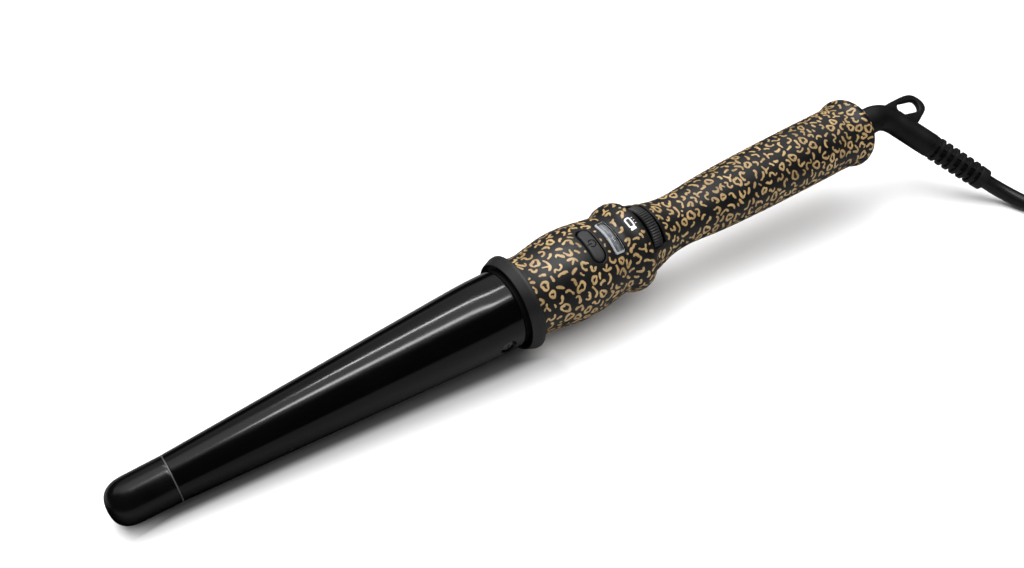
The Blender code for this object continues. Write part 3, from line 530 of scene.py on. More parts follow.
faces.append(tuple((len(stations) - 1) * SEG + j for j in range(SEG)))
plug_parts = [(verts, faces)]
for y in (9.3, -9.3):  # bosses round the pins
    plug_parts.append(moved(turned([(24.0, 0), (24.0, 3.4), (25.2, 3.4), (25.5, 3.1), (25.5, 0)], 40), Matrix.Translation((0, y, 7.1))))
boot = [(-21.5, 0), (-21.5, 3.9), (-21.2, 4.3)]
for k in range(5):
    x = -20.8 + 2.2 * k
    r = 4.6 + 0.16 * k
    boot += [(x, r - 0.05), (x + 0.25, r), (x + 1.05, r + 0.05), (x + 1.3, r), (x + 1.4, 4.0), (x + 2.1, 4.0)]
boot += [(-9.6, 5.0), (-9.0, 5.0), (-9.0, 0)]
plug_parts.append(moved(turned(boot, 48), Matrix.Translation((0, 0, 7.1))))
verts, faces = joined(plug_parts)
plug = make("plug", verts, faces, PLUG, plug_mat, "cord_swivel", "cord_pvc", ("plug_body",), sharp=50)
for name, y in (("pin_live", 9.3), ("pin_neutral", -9.3)):
    node = "plug_" + name
    metal_part = turned(fillet([(24.6, 0, 0), (24.6, 1.95, 0), (44.0, 1.95, 1.2), (44.0, 0, 0)], False), 40)
    sleeve = turned(fillet([(25.2, 0, 0), (25.2, 2.0, 0), (34.4, 2.0, 0.1), (34.4, 0, 0)], False), 40)
    v, f = joined([metal_part, sleeve])
    make("plug_" + name + "_contact", *moved((v, f), Matrix.Translation((0, y, 7.1))), PLUG, [nickel_mat, plug_mat], "cord_swivel",
                     "brass", (node,), face_mats=[0] * len(metal_part[1]) + [1] * len(sleeve[1]))

# Tie: a rubber strap round the bundle, with a lapped end and a stud.
TIE = WORLD @ Matrix.Translation((CX * MM, CY * MM, 0)) @ Matrix.Rotation(math.radians(-60), 4, "Z")
mid_r, half_r = (24.7 + 53.15) / 2, (53.15 - 24.7) / 2
loop_out = densify(round_rect(half_r + 1.15, 7.55, 3.4, 8), 1.2)
tie_path = [(mid_r + x, 0.0, 7.75 + z) for x, z in loop_out]
count = len(tie_path)
verts, faces = [], []
section = [(sx, sy) for sx, sy in round_rect(0.55, 4.6, 0.4, 4)]
for k in range(count):
    a, b = Vector(tie_path[k - 1]), Vector(tie_path[(k + 1) % count])
    t = (b - a).normalized()
    side = Vector((0, 1, 0))
    outward = t.cross(side)
    for sx, sy in section:
        verts.append(tuple(Vector(tie_path[k]) + outward * sx + side * sy))
m = len(section)
for k in range(count):
    q = (k + 1) % count
    for j in range(m):
        i = (j + 1) % m
        faces.append((k * m + j, k * m + i, q * m + i, q * m + j))
stud = moved(turned(fillet([(0, 0, 0), (0, 2.4, 0.3), (1.3, 2.4, 0.6), (1.3, 0, 0)], False), 40),
             Matrix.Translation((mid_r + 3, 0, 15.6)) @ Matrix.Rotation(math.radians(-90), 4, "Y"))
flap_v, flap_f = [], []
strip = spline([(mid_r + 12.5, 0, 15.95), (mid_r + 6, 0, 16.15), (mid_r, 0, 16.15), (mid_r - 7, 0, 16.0), (mid_r - 9.5, 0, 15.6)], 0.8)
for k, p in enumerate(strip):
    w = 4.3 if k < len(strip) - 4 else 4.3 * math.cos((k - (len(strip) - 4)) / 4 * 1.2)
    for sx, sy in round_rect(w, 0.45, 0.3, 3):
        flap_v.append((p[0], sx, p[2] + sy))
m = len(round_rect(1, 0.45, 0.3, 3))
for k in range(len(strip) - 1):
    for j in range(m):
        i = (j + 1) % m
        flap_f.append((k * m + j, k * m + i, (k + 1) * m + i, (k + 1) * m + j))
flap_f += [tuple(range(m)), tuple((len(strip) - 1) * m + j for j in range(m))]
tv, tf = joined([(verts, faces), stud, (flap_v, flap_f)])
tie = make("cord_strap", tv, tf, TIE, tie_mat, "cord_swivel", "relief_rubber", ("cord_tie",))

# -------------------------------------------------------------- barrel and tip
TIP_S, BASE_R, TIP_SEAM_R = -134.3, 15.85, 8.65


def barrel_radius(s):
    """A cone that turns smoothly into a straight last stretch."""
    slope = (BASE_R - TIP_SEAM_R) / (-12.0 - TIP_S)
    return BASE_R - slope * 2.2 * math.log1p(math.exp(-(s + 12.0) / 2.2))


RECESS_S, RECESS_A, RECESS_R, RECESS_DEEP = -8.0, (84.5, -95.5), 3.35, 1.5
s_lines = sorted(set([round(x, 3) for x in np.linspace(TIP_S + 0.6, -13.0, 46)] + [round(x, 3) for x in np.arange(-12.2, -3.9, 0.16)]
                     + [round(x, 3) for x in np.linspace(-3.6, -1.0, 6)]))
a_lines = []
for centre in RECESS_A:
    a_lines += list(np.arange(centre - 14.4, centre + 14.41, 0.6))
    a_lines += list(np.arange(centre + 16.4, centre + 164, 2.0))
a_lines = sorted(x % 360 for x in a_lines)
rows = [(TIP_S, TIP_SEAM_R - 0.30), (TIP_S + 0.04, TIP_SEAM_R - 0.14), (TIP_S + 0.14, TIP_SEAM_R - 0.04), (TIP_S + 0.32, barrel_radius(TIP_S + 0.32))]
rows += [(s, barrel_radius(s)) for s in s_lines]
rows += [(-0.75, 15.84), (-0.45, 15.80), (-0.20, 15.70), (-0.05, 15.55), (0.0, 15.38), (0.0, 14.8)]
rows += [(0.0, 14.6), (-12.0, 14.6), (TIP_S + 0.5, TIP_SEAM_R - 1.2), (TIP_S, TIP_SEAM_R - 1.2)]
verts, faces = [], []
for s, r in rows:
    for a in a_lines:
        deep = 0.0
        if -12.5 < s < -3.5 and r > 15:
            for centre in RECESS_A:
                gap = math.radians((a - centre + 180) % 360 - 180) * 15.85
                d = math.hypot(s - RECESS_S, gap)
                t = min(1.0, max(0.0, (RECESS_R + 0.10 - d) / 0.30))
                deep = max(deep, RECESS_DEEP * t * t * (3 - 2 * t))
        t = math.radians(a)
        verts.append((s, -(r - deep) * math.sin(t), (r - deep) * math.cos(t)))
m = len(a_lines)
for i in range(len(rows)):
    q = (i + 1) % len(rows)
    for j in range(m):
        k = (j + 1) % m
        faces.append((i * m + j, q * m + j, q * m + k, i * m + k))
make("barrel_glazed", verts, faces, GRIP, barrel_mat, "handle", "barrel_ceramic", ("barrel",), sharp=60)
# The barrel's root in the gap under the collar, black to paint the shade of that recess.
lathe("barrel_root_and_painted_shade", [(-0.1, 15.3), (3.4, 15.3), (3.5, 17.7), (4.3, 17.7), (4.3, 15.9), (6.2, 15.9), (6.2, 14.7), (-0.1, 14.7)], AXIS, shade_black_mat, "handle", slot="component_black")

for k, (centre, node) in enumerate(zip(RECESS_A, ("barrel_screw_a", "barrel_screw_b"))):
    a = math.radians(centre)
    out_dir = Vector((0, -math.sin(a), math.cos(a)))
    turn_m = out_dir.to_track_quat("X", "Z").to_matrix().to_4x4()
    turn_m.translation = Vector((RECESS_S, 0, 0)) + out_dir * 14.35
    head = turned(fillet([(-1.5, 0, 0), (-1.5, 1.4, 0), (-0.1, 1.4, 0), (-0.1, 2.65, 0), (0.35, 2.65, 0.3), (0.95, 1.5, 1.0), (1.02, 0, 0)], False), 64)
    v, f = moved(head, turn_m)
    screw = make("barrel_fixing_" + "ab"[k], v, f, GRIP, screw_mat, "handle", "steel", (node,))
    cross = []
    for dy, dz in ((1.5, 0.27), (0.27, 1.5)):
        cross.append(([(x, y, z) for x in (0.25, 2.0) for y in (-dy, dy) for z in (-dz, dz)],
                      [(0, 1, 3, 2), (4, 6, 7, 5), (0, 4, 5, 1), (2, 3, 7, 6), (0, 2, 6, 4), (1, 5, 7, 3)]))
    for part in cross:
        v, f = moved(part, turn_m)
        cutter = bpy.data.meshes.new("cutter")
        w = np.asarray(v) * MM
        g = np.array(GRIP, float)
        cutter.from_pydata((w @ g[:3, :3].T + g[:3, 3]).tolist(), [], f)
        bm = bmesh.new()
        bm.from_mesh(cutter)
        bmesh.ops.recalc_face_normals(bm, faces=bm.faces)
        bm.to_mesh(cutter)
        bm.free()
        co = bpy.data.objects.new("cutter", cutter)
        SCENE.objects.link(co)
        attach(co, "handle")
        mod = screw.modifiers.new("cross", "BOOLEAN")
        mod.object, mod.solver, mod.operation = co, "EXACT", "DIFFERENCE"
        bpy.context.view_layer.update()
        done = bpy.data.meshes.new_from_object(screw.evaluated_get(bpy.context.evaluated_depsgraph_get()))
        screw.modifiers.clear()
        screw.data = done
        bpy.data.objects.remove(co)
    screw.data.set_sharp_from_angle(angle=math.radians(38))

tip = [(-134.42, 0), (-134.42, 8.28), (-134.46, 8.44), (-134.62, 8.56), (-134.9, 8.60)]
tip += [tuple(x) for x in spline([(-135.6, 8.60), (-140, 8.54), (-146, 8.45), (-148.8, 8.36), (-150.8, 8.12), (-152.5, 7.58), (-153.9, 6.76), (-155.0, 5.66), (-155.75, 4.32), (-156.2, 2.9), (-156.42, 1.45)], 0.35)]
tip += [(-156.5, 0)]
lathe("tip_cap", tip, AXIS, tip_mat, "handle", seg=160, slot="tip_plastic", replaces=("cool_tip",))
# A thin paler ring between the cap and the barrel, a painted highlight for the seam's lit edge.
lathe("tip_seam_painted_highlight", [(-134.62, 8.0), (-134.62, 8.58), (-134.54, 8.655), (-134.24, 8.675), (-134.14, 8.64), (-134.14, 8.0)], AXIS, seam_highlight_mat, "handle", seg=160, slot="tip_plastic")

# --------------------------------------------------------------------- collar
collar = fillet([(1.2, 17.85, 0.22), (1.2, 18.15, 0.25), (1.8, 18.4, 0.5), (4.75, 19.6, 0.22), (6.0, 19.7, 0.25), (6.3, 19.3, 0.2), (6.3, 16.15, 0.1), (4.4, 16.15, 0.1), (4.4, 17.75, 0.3)])
lathe("heat_guard", collar, AXIS, collar_mat, "handle", seg=192, slot="collar_plastic", replaces=("heat_guard_collar",))

# --------------------------------------------------------------------- handle
HANDLE = [
    (6.6, 17.2), (10.0, 16.7), (14.0, 16.6), (18.5, 17.3), (24.0, 18.3),
    (30.0, 18.9), (35.5, 18.8), (41.5, 18.2), (47.0, 17.4), (51.0, 16.9),
    (53.2, 17.3), (55.1, 18.4), (58.0, 19.2), (61.0, 19.0), (62.9, 18.0),
    (64.0, 16.7), (67.5, 15.2), (71.4, 14.1), (75.0, 13.1), (80.0, 12.1),
    (87.0, 11.6), (94.0, 11.9), (102.0, 12.6), (112.0, 13.2), (124.0, 13.7),
    (145.0, 14.15), (170.0, 14.4), (184.0, 14.5), (187.5, 14.8),
    (189.6, 15.5), (191.0, 16.0), (192.4, 16.1), (193.8, 15.6),
    (195.0, 14.6), (195.6, 13.4),
]
fine = spline(HANDLE, 0.25)
# Two passes of smoothing take the last unevenness out of the turned form.
arc = np.concatenate([[0], np.cumsum(np.linalg.norm(np.diff(fine, axis=0), axis=1))])
even = np.linspace(0, arc[-1], 900)
fine = np.stack([np.interp(even, arc, fine[:, i]) for i in (0, 1)], axis=1)
for _ in range(14):
    fine[1:-1] = 0.25 * fine[:-2] + 0.5 * fine[1:-1] + 0.25 * fine[2:]


def handle_radius(s):
    return float(np.interp(s, fine[:, 0], fine[:, 1]))


KEY = (38.0, 5.7 / 2, 15.7 / 2)
WINDOW = (47.8, 4.8 / 2, 15.6 / 2)
LIP = 0.35
PATCH = (30.0, 76.0, -54.0, 54.0)
Q = 18.0  # length per radian of the flat layout that the openings are drawn in


def to_flat(x, y, s0):
    """A point of a plan outline, x along and y across, on the flat layout."""
    r = handle_radius(s0 + x)
    return (s0 + x, math.asin(max(-0.99, min(0.99, y / r))) * Q)


openings = []
for (s0, hx, hy), rad, grow in ((KEY, 2.84, 0.42), (WINDOW, 1.15, 0.42)):
    loops = []
    for d in (0.0, 0.08, 0.18, LIP):
        o = densify(round_rect(hx + grow + d, hy + grow + d, min(rad + grow + d, hx + grow + d - 0.01), 8), 0.55)
        loops.append([to_flat(x, y, s0) for x, y in o])
    openings.append(loops)
openings.append([[(66.7 + x, y + math.radians(3.8) * Q) for x, y in densify(round_rect(4.7 + d, math.radians(44.2) * Q + d, 0.9 + d, 6), 0.55)]
                 for d in (0.0, 0.08, 0.18, LIP)])


def lip_drop(d):
    return LIP - math.sqrt(max(0.0, LIP**2 - (LIP - d) ** 2)) if d < LIP else 0.0


def shell_surface(a0, a1, holes):
    """The grid of a half shell: stations along it, angles round it, and the profile of its rounded seam edges; holes is
    not used.
    """
    s_grid = [x for x in fine[::5, 0]]
    s_grid = [s for s in s_grid if 6.6 <= s <= 195.6]
    keep = []
    for s in s_grid:
        if not keep or s - keep[-1] > 0.5 or s > 186:
            keep.append(s)
    s_grid = sorted(set([round(s, 4) for s in keep if abs(s - PATCH[0]) > 0.3 and abs(s - PATCH[1]) > 0.3] + [PATCH[0], PATCH[1]]))
    # the shell's ends are rounded over
    step = 3.0
    a_grid = [a0 + step * k for k in range(1, int(round((a1 - a0) / step)))]
    edge = [(0.0, 0.30), (0.10, 0.12), (0.28, 0.03), (0.6, 0.0)]
    return s_grid, a_grid, edge


def build_shell(name, a0, a1, holes, node, gap=0.10):
    s_grid, a_grid, edge = shell_surface(a0, a1, holes)
    pts, drop, faces = [], [], []
    index = {}

    def add(s, a, d=0.0):
        key = (round(s, 4), round(a, 4))
        if key not in index:
            index[key] = len(pts)
            pts.append((s, a))
            drop.append(d)
        return index[key]

    # columns of angle: fine ones near the seam, where the edge rounds over
    cols = []
    for mm, d in edge:
        cols.append((a0, +1, gap / 2 + mm, d))
    for a in a_grid:
        cols.append((a, 0, 0.0, 0.0))
    for mm, d in reversed(edge):
        cols.append((a1, -1, gap / 2 + mm, d))

    def angle(col, s):
        a, sign, mm, _ = col
        return a + sign * math.degrees(mm / handle_radius(s))

    n_s, n_a = len(s_grid), len(cols)
    grid = {}
    for i, s in enumerate(s_grid):
        for j, col in enumerate(cols):
            grid[i, j] = len(pts)
            pts.append((s, angle(col, s)))
            end = min(s - s_grid[0], s_grid[-1] - s)
            drop.append(max(col[3], 0.0))
    for i in range(n_s - 1):
        for j in range(n_a - 1):
            if holes:
                sa, sb = s_grid[i], s_grid[i + 1]
                ja, jb = cols[j], cols[j + 1]
                if sa >= PATCH[0] - 1e-6 and sb <= PATCH[1] + 1e-6 and ja[1] == 0 and jb[1] == 0 and ja[0] >= PATCH[2] - 1e-6 and jb[0] <= PATCH[3] + 1e-6:
                    continue
            faces.append((grid[i, j], grid[i + 1, j], grid[i + 1, j + 1], grid[i, j + 1]))
    if holes:
        si = [i for i, s in enumerate(s_grid) if PATCH[0] - 1e-6 <= s <= PATCH[1] + 1e-6]
        sj = [j for j, c in enumerate(cols) if c[1] == 0 and PATCH[2] - 1e-6 <= c[0] <= PATCH[3] + 1e-6]
        border = [grid[i, sj[0]] for i in si] + [grid[si[-1], j] for j in sj[1:]] + [grid[i, sj[-1]] for i in reversed(si[:-1])] + [grid[si[0], j] for j in reversed(sj[1:-1])]
        flat_pts, flat_id = [], []
        for v in border:
            flat_pts.append((pts[v][0], math.radians(pts[v][1]) * Q))
            flat_id.append(v)
        edges = [(k, (k + 1) % len(border)) for k in range(len(border))]
        outer_loops = []
        for loops in holes:
            for k, loop in enumerate(loops):
                first = len(flat_pts)
                d = lip_drop((0.0, 0.08, 0.18, LIP)[k])
                for s, q in loop:
                    flat_pts.append((s, q))
                    flat_id.append(len(pts))
                    pts.append((s, math.degrees(q / Q)))
                    drop.append(d)
                edges += [(first + i, first + (i + 1) % len(loop)) for i in range(len(loop))]
            outer_loops.append(loops[-1])
        mesh_pts = []
        q0, q1 = math.radians(PATCH[2]) * Q, math.radians(PATCH[3]) * Q
        rows_s = np.arange(PATCH[0] + 0.45, PATCH[1] - 0.3, 0.52)
        for r_i, s in enumerate(rows_s):
            shift = 0.26 if r_i % 2 else 0.0
            for q in np.arange(q0 + 0.5 + shift, q1 - 0.4, 0.60):
                mesh_pts.append((s, q))
        mesh_pts = np.array(mesh_pts)
        ok = np.ones(len(mesh_pts), bool)
        for loop in outer_loops:
            ok &= ~inside_many(loop, mesh_pts)
            ok &= near_line(loop, mesh_pts) > 0.28
        for s, q in mesh_pts[ok]:
            flat_pts.append((float(s), float(q)))
            flat_id.append(len(pts))
            pts.append((float(s), math.degrees(q / Q)))
            drop.append(0.0)
        out_v, _, out_f, orig_v, _, _ = delaunay_2d_cdt([Vector(p) for p in flat_pts], edges, [], 1, 1e-7, True)
        mapped = []
        for k, src in enumerate(orig_v):
            if src:
                mapped.append(flat_id[src[0]])
            else:
                mapped.append(len(pts))
                pts.append((out_v[k].x, math.degrees(out_v[k].y / Q)))
                drop.append(0.0)
        centres = np.array([[sum(out_v[i].x for i in f) / len(f), sum(out_v[i].y for i in f) / len(f)] for f in out_f])
        good = np.ones(len(out_f), bool)
        for loops in holes:
            good &= ~inside_many(loops[0], centres)
        for f, g in zip(out_f, good):
            if g:
                ids = tuple(mapped[i] for i in f)
                if len(set(ids)) == len(ids):
                    faces.append(ids)
    # outer surface, inner surface, and walls between them along every free edge
    pts_a = np.array(pts)
    r_out = np.interp(pts_a[:, 0], fine[:, 0], fine[:, 1]) - np.array(drop)
    end = np.minimum(pts_a[:, 0] - s_grid[0], 1e9)
    r_out = r_out - np.where(end < 0.3, 0.3 - np.sqrt(np.maximum(0, 0.09 - (0.3 - end) ** 2)), 0.0) * 0.6
    r_in = np.interp(pts_a[:, 0], fine[:, 0], fine[:, 1]) - 1.9
    r_in = np.where(pts_a[:, 0] > 194.0, np.minimum(r_in, 11.6), r_in)
    t = np.radians(pts_a[:, 1])
    outer = np.stack([pts_a[:, 0], -r_out * np.sin(t), r_out * np.cos(t)], axis=1)
    inner = np.stack([pts_a[:, 0], -r_in * np.sin(t), r_in * np.cos(t)], axis=1)
    n = len(pts)
    count = {}
    for f in faces:
        for a, b in zip(f, f[1:] + f[:1]):
            key = (min(a, b), max(a, b))
            count.setdefault(key, []).append((a, b))
    walls = [(b, a, a + n, b + n) for e in count.values() if len(e) == 1 for a, b in e]
    every = faces + [tuple(i + n for i in reversed(f)) for f in faces] + walls
    # The inner surface and the walls along every free edge take the black that paints shade, for the dark gaps round
    # the key, the lens and the dial.
    inner_mats = [0] * len(faces) + [1] * (len(faces) + len(walls))
    verts = np.vstack([outer, inner])
    obj = make(name, verts, every, GRIP, [shell_mat, shade_black_mat], "handle", "shell_print", (node,), sharp=42, face_mats=inner_mats)
    return obj


upper_shell = build_shell("shell_upper", -90.0, 90.0, openings, "handle_shell_upper")
lower_shell = build_shell("shell_lower", 90.0, 270.0, [], "handle_shell_lower")


def baked(obj):
    bpy.context.view_layer.update()
    mesh = bpy.data.meshes.new_from_object(obj.evaluated_get(bpy.context.evaluated_depsgraph_get()))
    obj.modifiers.clear()
    obj.data = mesh
    return obj


def raw(part, name, matrix=None):
    mesh = bpy.data.meshes.new(name)
    mesh.from_pydata([tuple(np.asarray(x) * MM) for x in part[0]], [], part[1])
    if matrix is not None:
        mesh.transform(matrix)
    bm = bmesh.new()
    bm.from_mesh(mesh)
    bmesh.ops.recalc_face_normals(bm, faces=bm.faces)
    bm.to_mesh(mesh)
    bm.free()
    obj = bpy.data.objects.new(name, mesh)
    SCENE.objects.link(obj)
    return obj


def cut(obj, cutter, angle=42):
    mod = obj.modifiers.new("cut", "BOOLEAN")
    mod.object, mod.solver, mod.operation, mod.material_mode = cutter, "EXACT", "DIFFERENCE", "TRANSFER"
    # The faces that a cut leaves take the black that paints shade, for the shade inside grooves and wells.
    cutter.data.materials.append(shade_black_mat)
    baked(obj)
    bpy.data.objects.remove(cutter)
    obj.data.set_sharp_from_angle(angle=math.radians(angle))


# Two screw wells on the underside, their cut faces in the black that paints shade.
WELLS = ((104.0, 12.7), (160.0, 14.4))
for s0, r0 in WELLS:
    well = turned(fillet([(-r0 - 4, 0, 0), (-r0 - 4, 3.1, 0), (-r0 - 0.4, 2.72, 0), (-r0 + 0.25, 2.32, 0.3), (-r0 + 6, 2.32, 0), (-r0 + 6, 0, 0)], False), 48)
    upright = Matrix.Translation((s0, 0, 0)) @ Matrix.Rotation(math.radians(-90), 4, "Y")
    cut(lower_shell, raw(moved(well, upright), "well", GRIP))

# The print: rings, hooks, bars and forks of gold ink, spread evenly over the
# handle and laid on as a thin raised layer.
arc_of = np.concatenate([[0], np.cumsum(np.linalg.norm(np.diff(fine, axis=0), axis=1))])
slope = np.gradient(fine, axis=0)
slope /= np.linalg.norm(slope, axis=1)[:, None]


def on_handle(arc_at, v, theta0, lift):
    """A point by its place along the profile, its distance round from an angle, and its height over the surface."""
    x = float(np.interp(arc_at, arc_of, fine[:, 0]))
    r = float(np.interp(arc_at, arc_of, fine[:, 1]))
    tx, tr = float(np.interp(arc_at, arc_of, slope[:, 0])), float(np.interp(arc_at, arc_of, slope[:, 1]))
    a = theta0 + v / r
    x, r = x - tr * lift, r + tx * lift
    return (x, -r * math.sin(a), r * math.cos(a))


rng = np.random.default_rng(29)
SPACING = 4.3
mid = 0.5 * (fine[1:, 1] + fine[:-1, 1])
strip_area = 2 * math.pi * mid * np.diff(arc_of)
strip_sum = np.concatenate([[0], np.cumsum(strip_area)])
total = int(strip_area.sum() / (SPACING**2 * 0.90))
spread_u = np.interp(np.sort(rng.random(total)) * strip_area.sum(), strip_sum, arc_of)
spread_t = rng.random(total) * 2 * math.pi
for _ in range(60):
    x = np.interp(spread_u, arc_of, fine[:, 0])
    r = np.interp(spread_u, arc_of, fine[:, 1])
    pos = np.stack([x, -r * np.sin(spread_t), r * np.cos(spread_t)], axis=1)
    gap = pos[:, None, :] - pos[None, :, :]
    d = np.linalg.norm(gap, axis=2) + np.eye(total) * 1e6
    push = np.maximum(0.0, SPACING * 1.12 - d) / d
    move = (gap * push[:, :, None]).sum(axis=1) * 0.22
    spread_u = np.clip(spread_u + move[:, 0], 0.3, arc_of[-1] - 0.3)
    spread_t = spread_t + (-np.cos(spread_t) * move[:, 1] - np.sin(spread_t) * move[:, 2]) / r

# A map of the inked places, by distance along the profile and angle round it,
# keeps the marks apart.
ROW, COLS, GAP = 0.2, 720, 0.24
taken = np.zeros((int(arc_of[-1] / ROW) + 2, COLS), bool)


def place_of(arc_at, v, theta0):
    r = np.interp(arc_at, arc_of, fine[:, 1])
    row = np.clip((arc_at / ROW).astype(int), 0, len(taken) - 1)
    col = np.floor((theta0 + v / r) / (2 * math.pi) * COLS).astype(int) % COLS
    return row, col, r


def is_free(lines, arc0, theta0):
    for p, w, _ in lines:
        p = np.asarray(p)
        row, col, r = place_of(arc0 + p[:, 0], p[:, 1], theta0)
        if taken[row, col].any():
            return False
    return True


def take(lines, arc0, theta0):
    for p, w, _ in lines:
        p = np.asarray(p)
        for (du, dv), half in zip(p, w):
            at = arc0 + du
            r = float(np.interp(at, arc_of, fine[:, 1]))
            reach = half + 0.50 + GAP
            i0, i1 = max(0, int((at - reach) / ROW)), min(len(taken) - 1, int((at + reach) / ROW) + 1)
            span_c = int(reach / r / (2 * math.pi) * COLS) + 1
            c0 = math.floor((theta0 + dv / r) / (2 * math.pi) * COLS)
            rows_at = (np.arange(i0, i1 + 1) + 0.5) * ROW - at
            cols_at = np.arange(-span_c, span_c + 1) * (2 * math.pi / COLS) * r
            near = rows_at[:, None] ** 2 + cols_at[None, :] ** 2 < reach**2
            ids = (c0 + np.arange(-span_c, span_c + 1)) % COLS
            block = taken[i0:i1 + 1][:, ids]
            taken[i0:i1 + 1, ids] = block | near


cut_loops = [loops[-1] for loops in openings]
cut_boxes = [(np.min(loop, axis=0), np.max(loop, axis=0)) for loop in cut_loops]


def printable(arc_at, v, theta0, margin):
    x = float(np.interp(arc_at, arc_of, fine[:, 0]))
    r = float(np.interp(arc_at, arc_of, fine[:, 1]))
    a = (theta0 + v / r + math.pi) % (2 * math.pi) - math.pi
    if not 7.0 + margin * 0.5 < x < 195.2 or arc_at < 0.2 or arc_at > arc_of[-1] - 0.2:
        return False
    if abs(a) < 1.0 and 30 < x < 76:
        for loop, (lo, hi) in zip(cut_loops, cut_boxes):
            q = [(x, a * Q)]
            if not (lo[0] - 2 < x < hi[0] + 2 and lo[1] - 2 < a * Q < hi[1] + 2):
                continue
            if inside_many(loop, q)[0] or near_line(loop, q)[0] < margin:
                return False
    for s0, r0 in WELLS:
        if math.hypot(x - s0, (abs(a) - math.pi) * r0) < 2.85 + margin:
            return False
    if abs(x - 57.8) < 2.1 + margin and abs(a) * 19 < 3.4 + margin:
        return False
    return True


ink_v, ink_f = [], []


def stroke(path, widths, arc0, theta0, closed=False, store=None, height=0.055):
    """A raised line of ink: path in millimetres round (arc0, theta0), cut where it would run into an opening."""
    verts_out, faces_out = store
    path, widths = np.asarray(path, float), np.asarray(widths, float)
    n = len(path)
    ok = [printable(arc0 + path[k, 0], path[k, 1], theta0, widths[k] + 0.12) for k in range(n)]
    if closed and all(ok):
        runs = [(list(range(n)), True)]
    else:
        order = list(range(n))
        if closed:
            first = ok.index(False)
            order = order[first:] + order[:first]
        runs, run_now = [], []
        for k in order:
            if ok[k]:
                run_now.append(k)
            elif run_now:
                runs.append((run_now, False))
                run_now = []
        if run_now:
            runs.append((run_now, False))
    for ids, loop in runs:
        if not loop and len(ids) < 4:
            continue
        p, w = path[ids], widths[ids].copy()
        m = len(ids)
        if loop:
            t = np.roll(p, -1, axis=0) - np.roll(p, 1, axis=0)
        else:
            t = np.gradient(p, axis=0)
            run_len = np.concatenate([[0], np.cumsum(np.linalg.norm(np.diff(p, axis=0), axis=1))])
            for end in (run_len, run_len[-1] - run_len):
                k = np.clip(end / np.maximum(w, 0.05) / 0.9, 0, 1)
                w = w * np.sqrt(np.clip(1 - (1 - k) ** 2, 0.06, 1))
        t /= np.linalg.norm(t, axis=1)[:, None] + 1e-9
        side = np.stack([-t[:, 1], t[:, 0]], axis=1)
        first = len(verts_out)
        for k in range(m):
            for f, lift in ((-1.0, -0.12), (-1.0, height * 0.55), (-0.78, height), (0.78, height), (1.0, height * 0.55), (1.0, -0.12)):
                q = p[k] + side[k] * w[k] * f
                verts_out.append(on_handle(arc0 + q[0], q[1], theta0, lift))
        for k in range(m if loop else m - 1):
            a, b = first + 6 * k, first + 6 * ((k + 1) % m)
            for j in range(6):
                i = (j + 1) % 6
                faces_out.append((a + j, b + j, b + i, a + i))
        if not loop:
            faces_out.append(tuple(first + j for j in range(6)))
            faces_out.append(tuple(first + 6 * (m - 1) + j for j in range(6)))


def hook(r0, start, sweep, aspect, lean, seed, wave=1.0):
    """A rounded, slightly angular loop or part of one."""
    g = np.random.default_rng(seed)
    p1, p2, p3 = g.random(3) * 2 * math.pi
    count = max(7, int(r0 * math.radians(sweep) / 0.36))
    closed = sweep >= 359
    out, wide = [], []
    for k in range(count + (0 if closed else 1)):
        t = math.radians(start + sweep * k / count)
        r = r0 * (1 + wave * (0.11 * math.sin(2 * t + p1) + 0.13 * math.sin(3 * t + p2) + 0.06 * math.sin(5 * t + p3)))
        x, y = r * math.cos(t) * aspect, r * math.sin(t) / aspect
        out.append((x * math.cos(lean) - y * math.sin(lean), x * math.sin(lean) + y * math.cos(lean)))
        wide.append(0.57 * (1 + 0.26 * math.sin(2 * t + p3) + 0.14 * math.sin(5 * t + p1)))
    return out, wide, closed


def line_mark(points, width, seed):
    g = np.random.default_rng(seed)
    p = spline([(x + g.normal() * 0.10, y + g.normal() * 0.10) for x, y in points], 0.36)
    k = np.linspace(0, 1, len(p))
    w = width * (1 + 0.22 * np.sin(k * 5 + g.random() * 6))
    return p, w


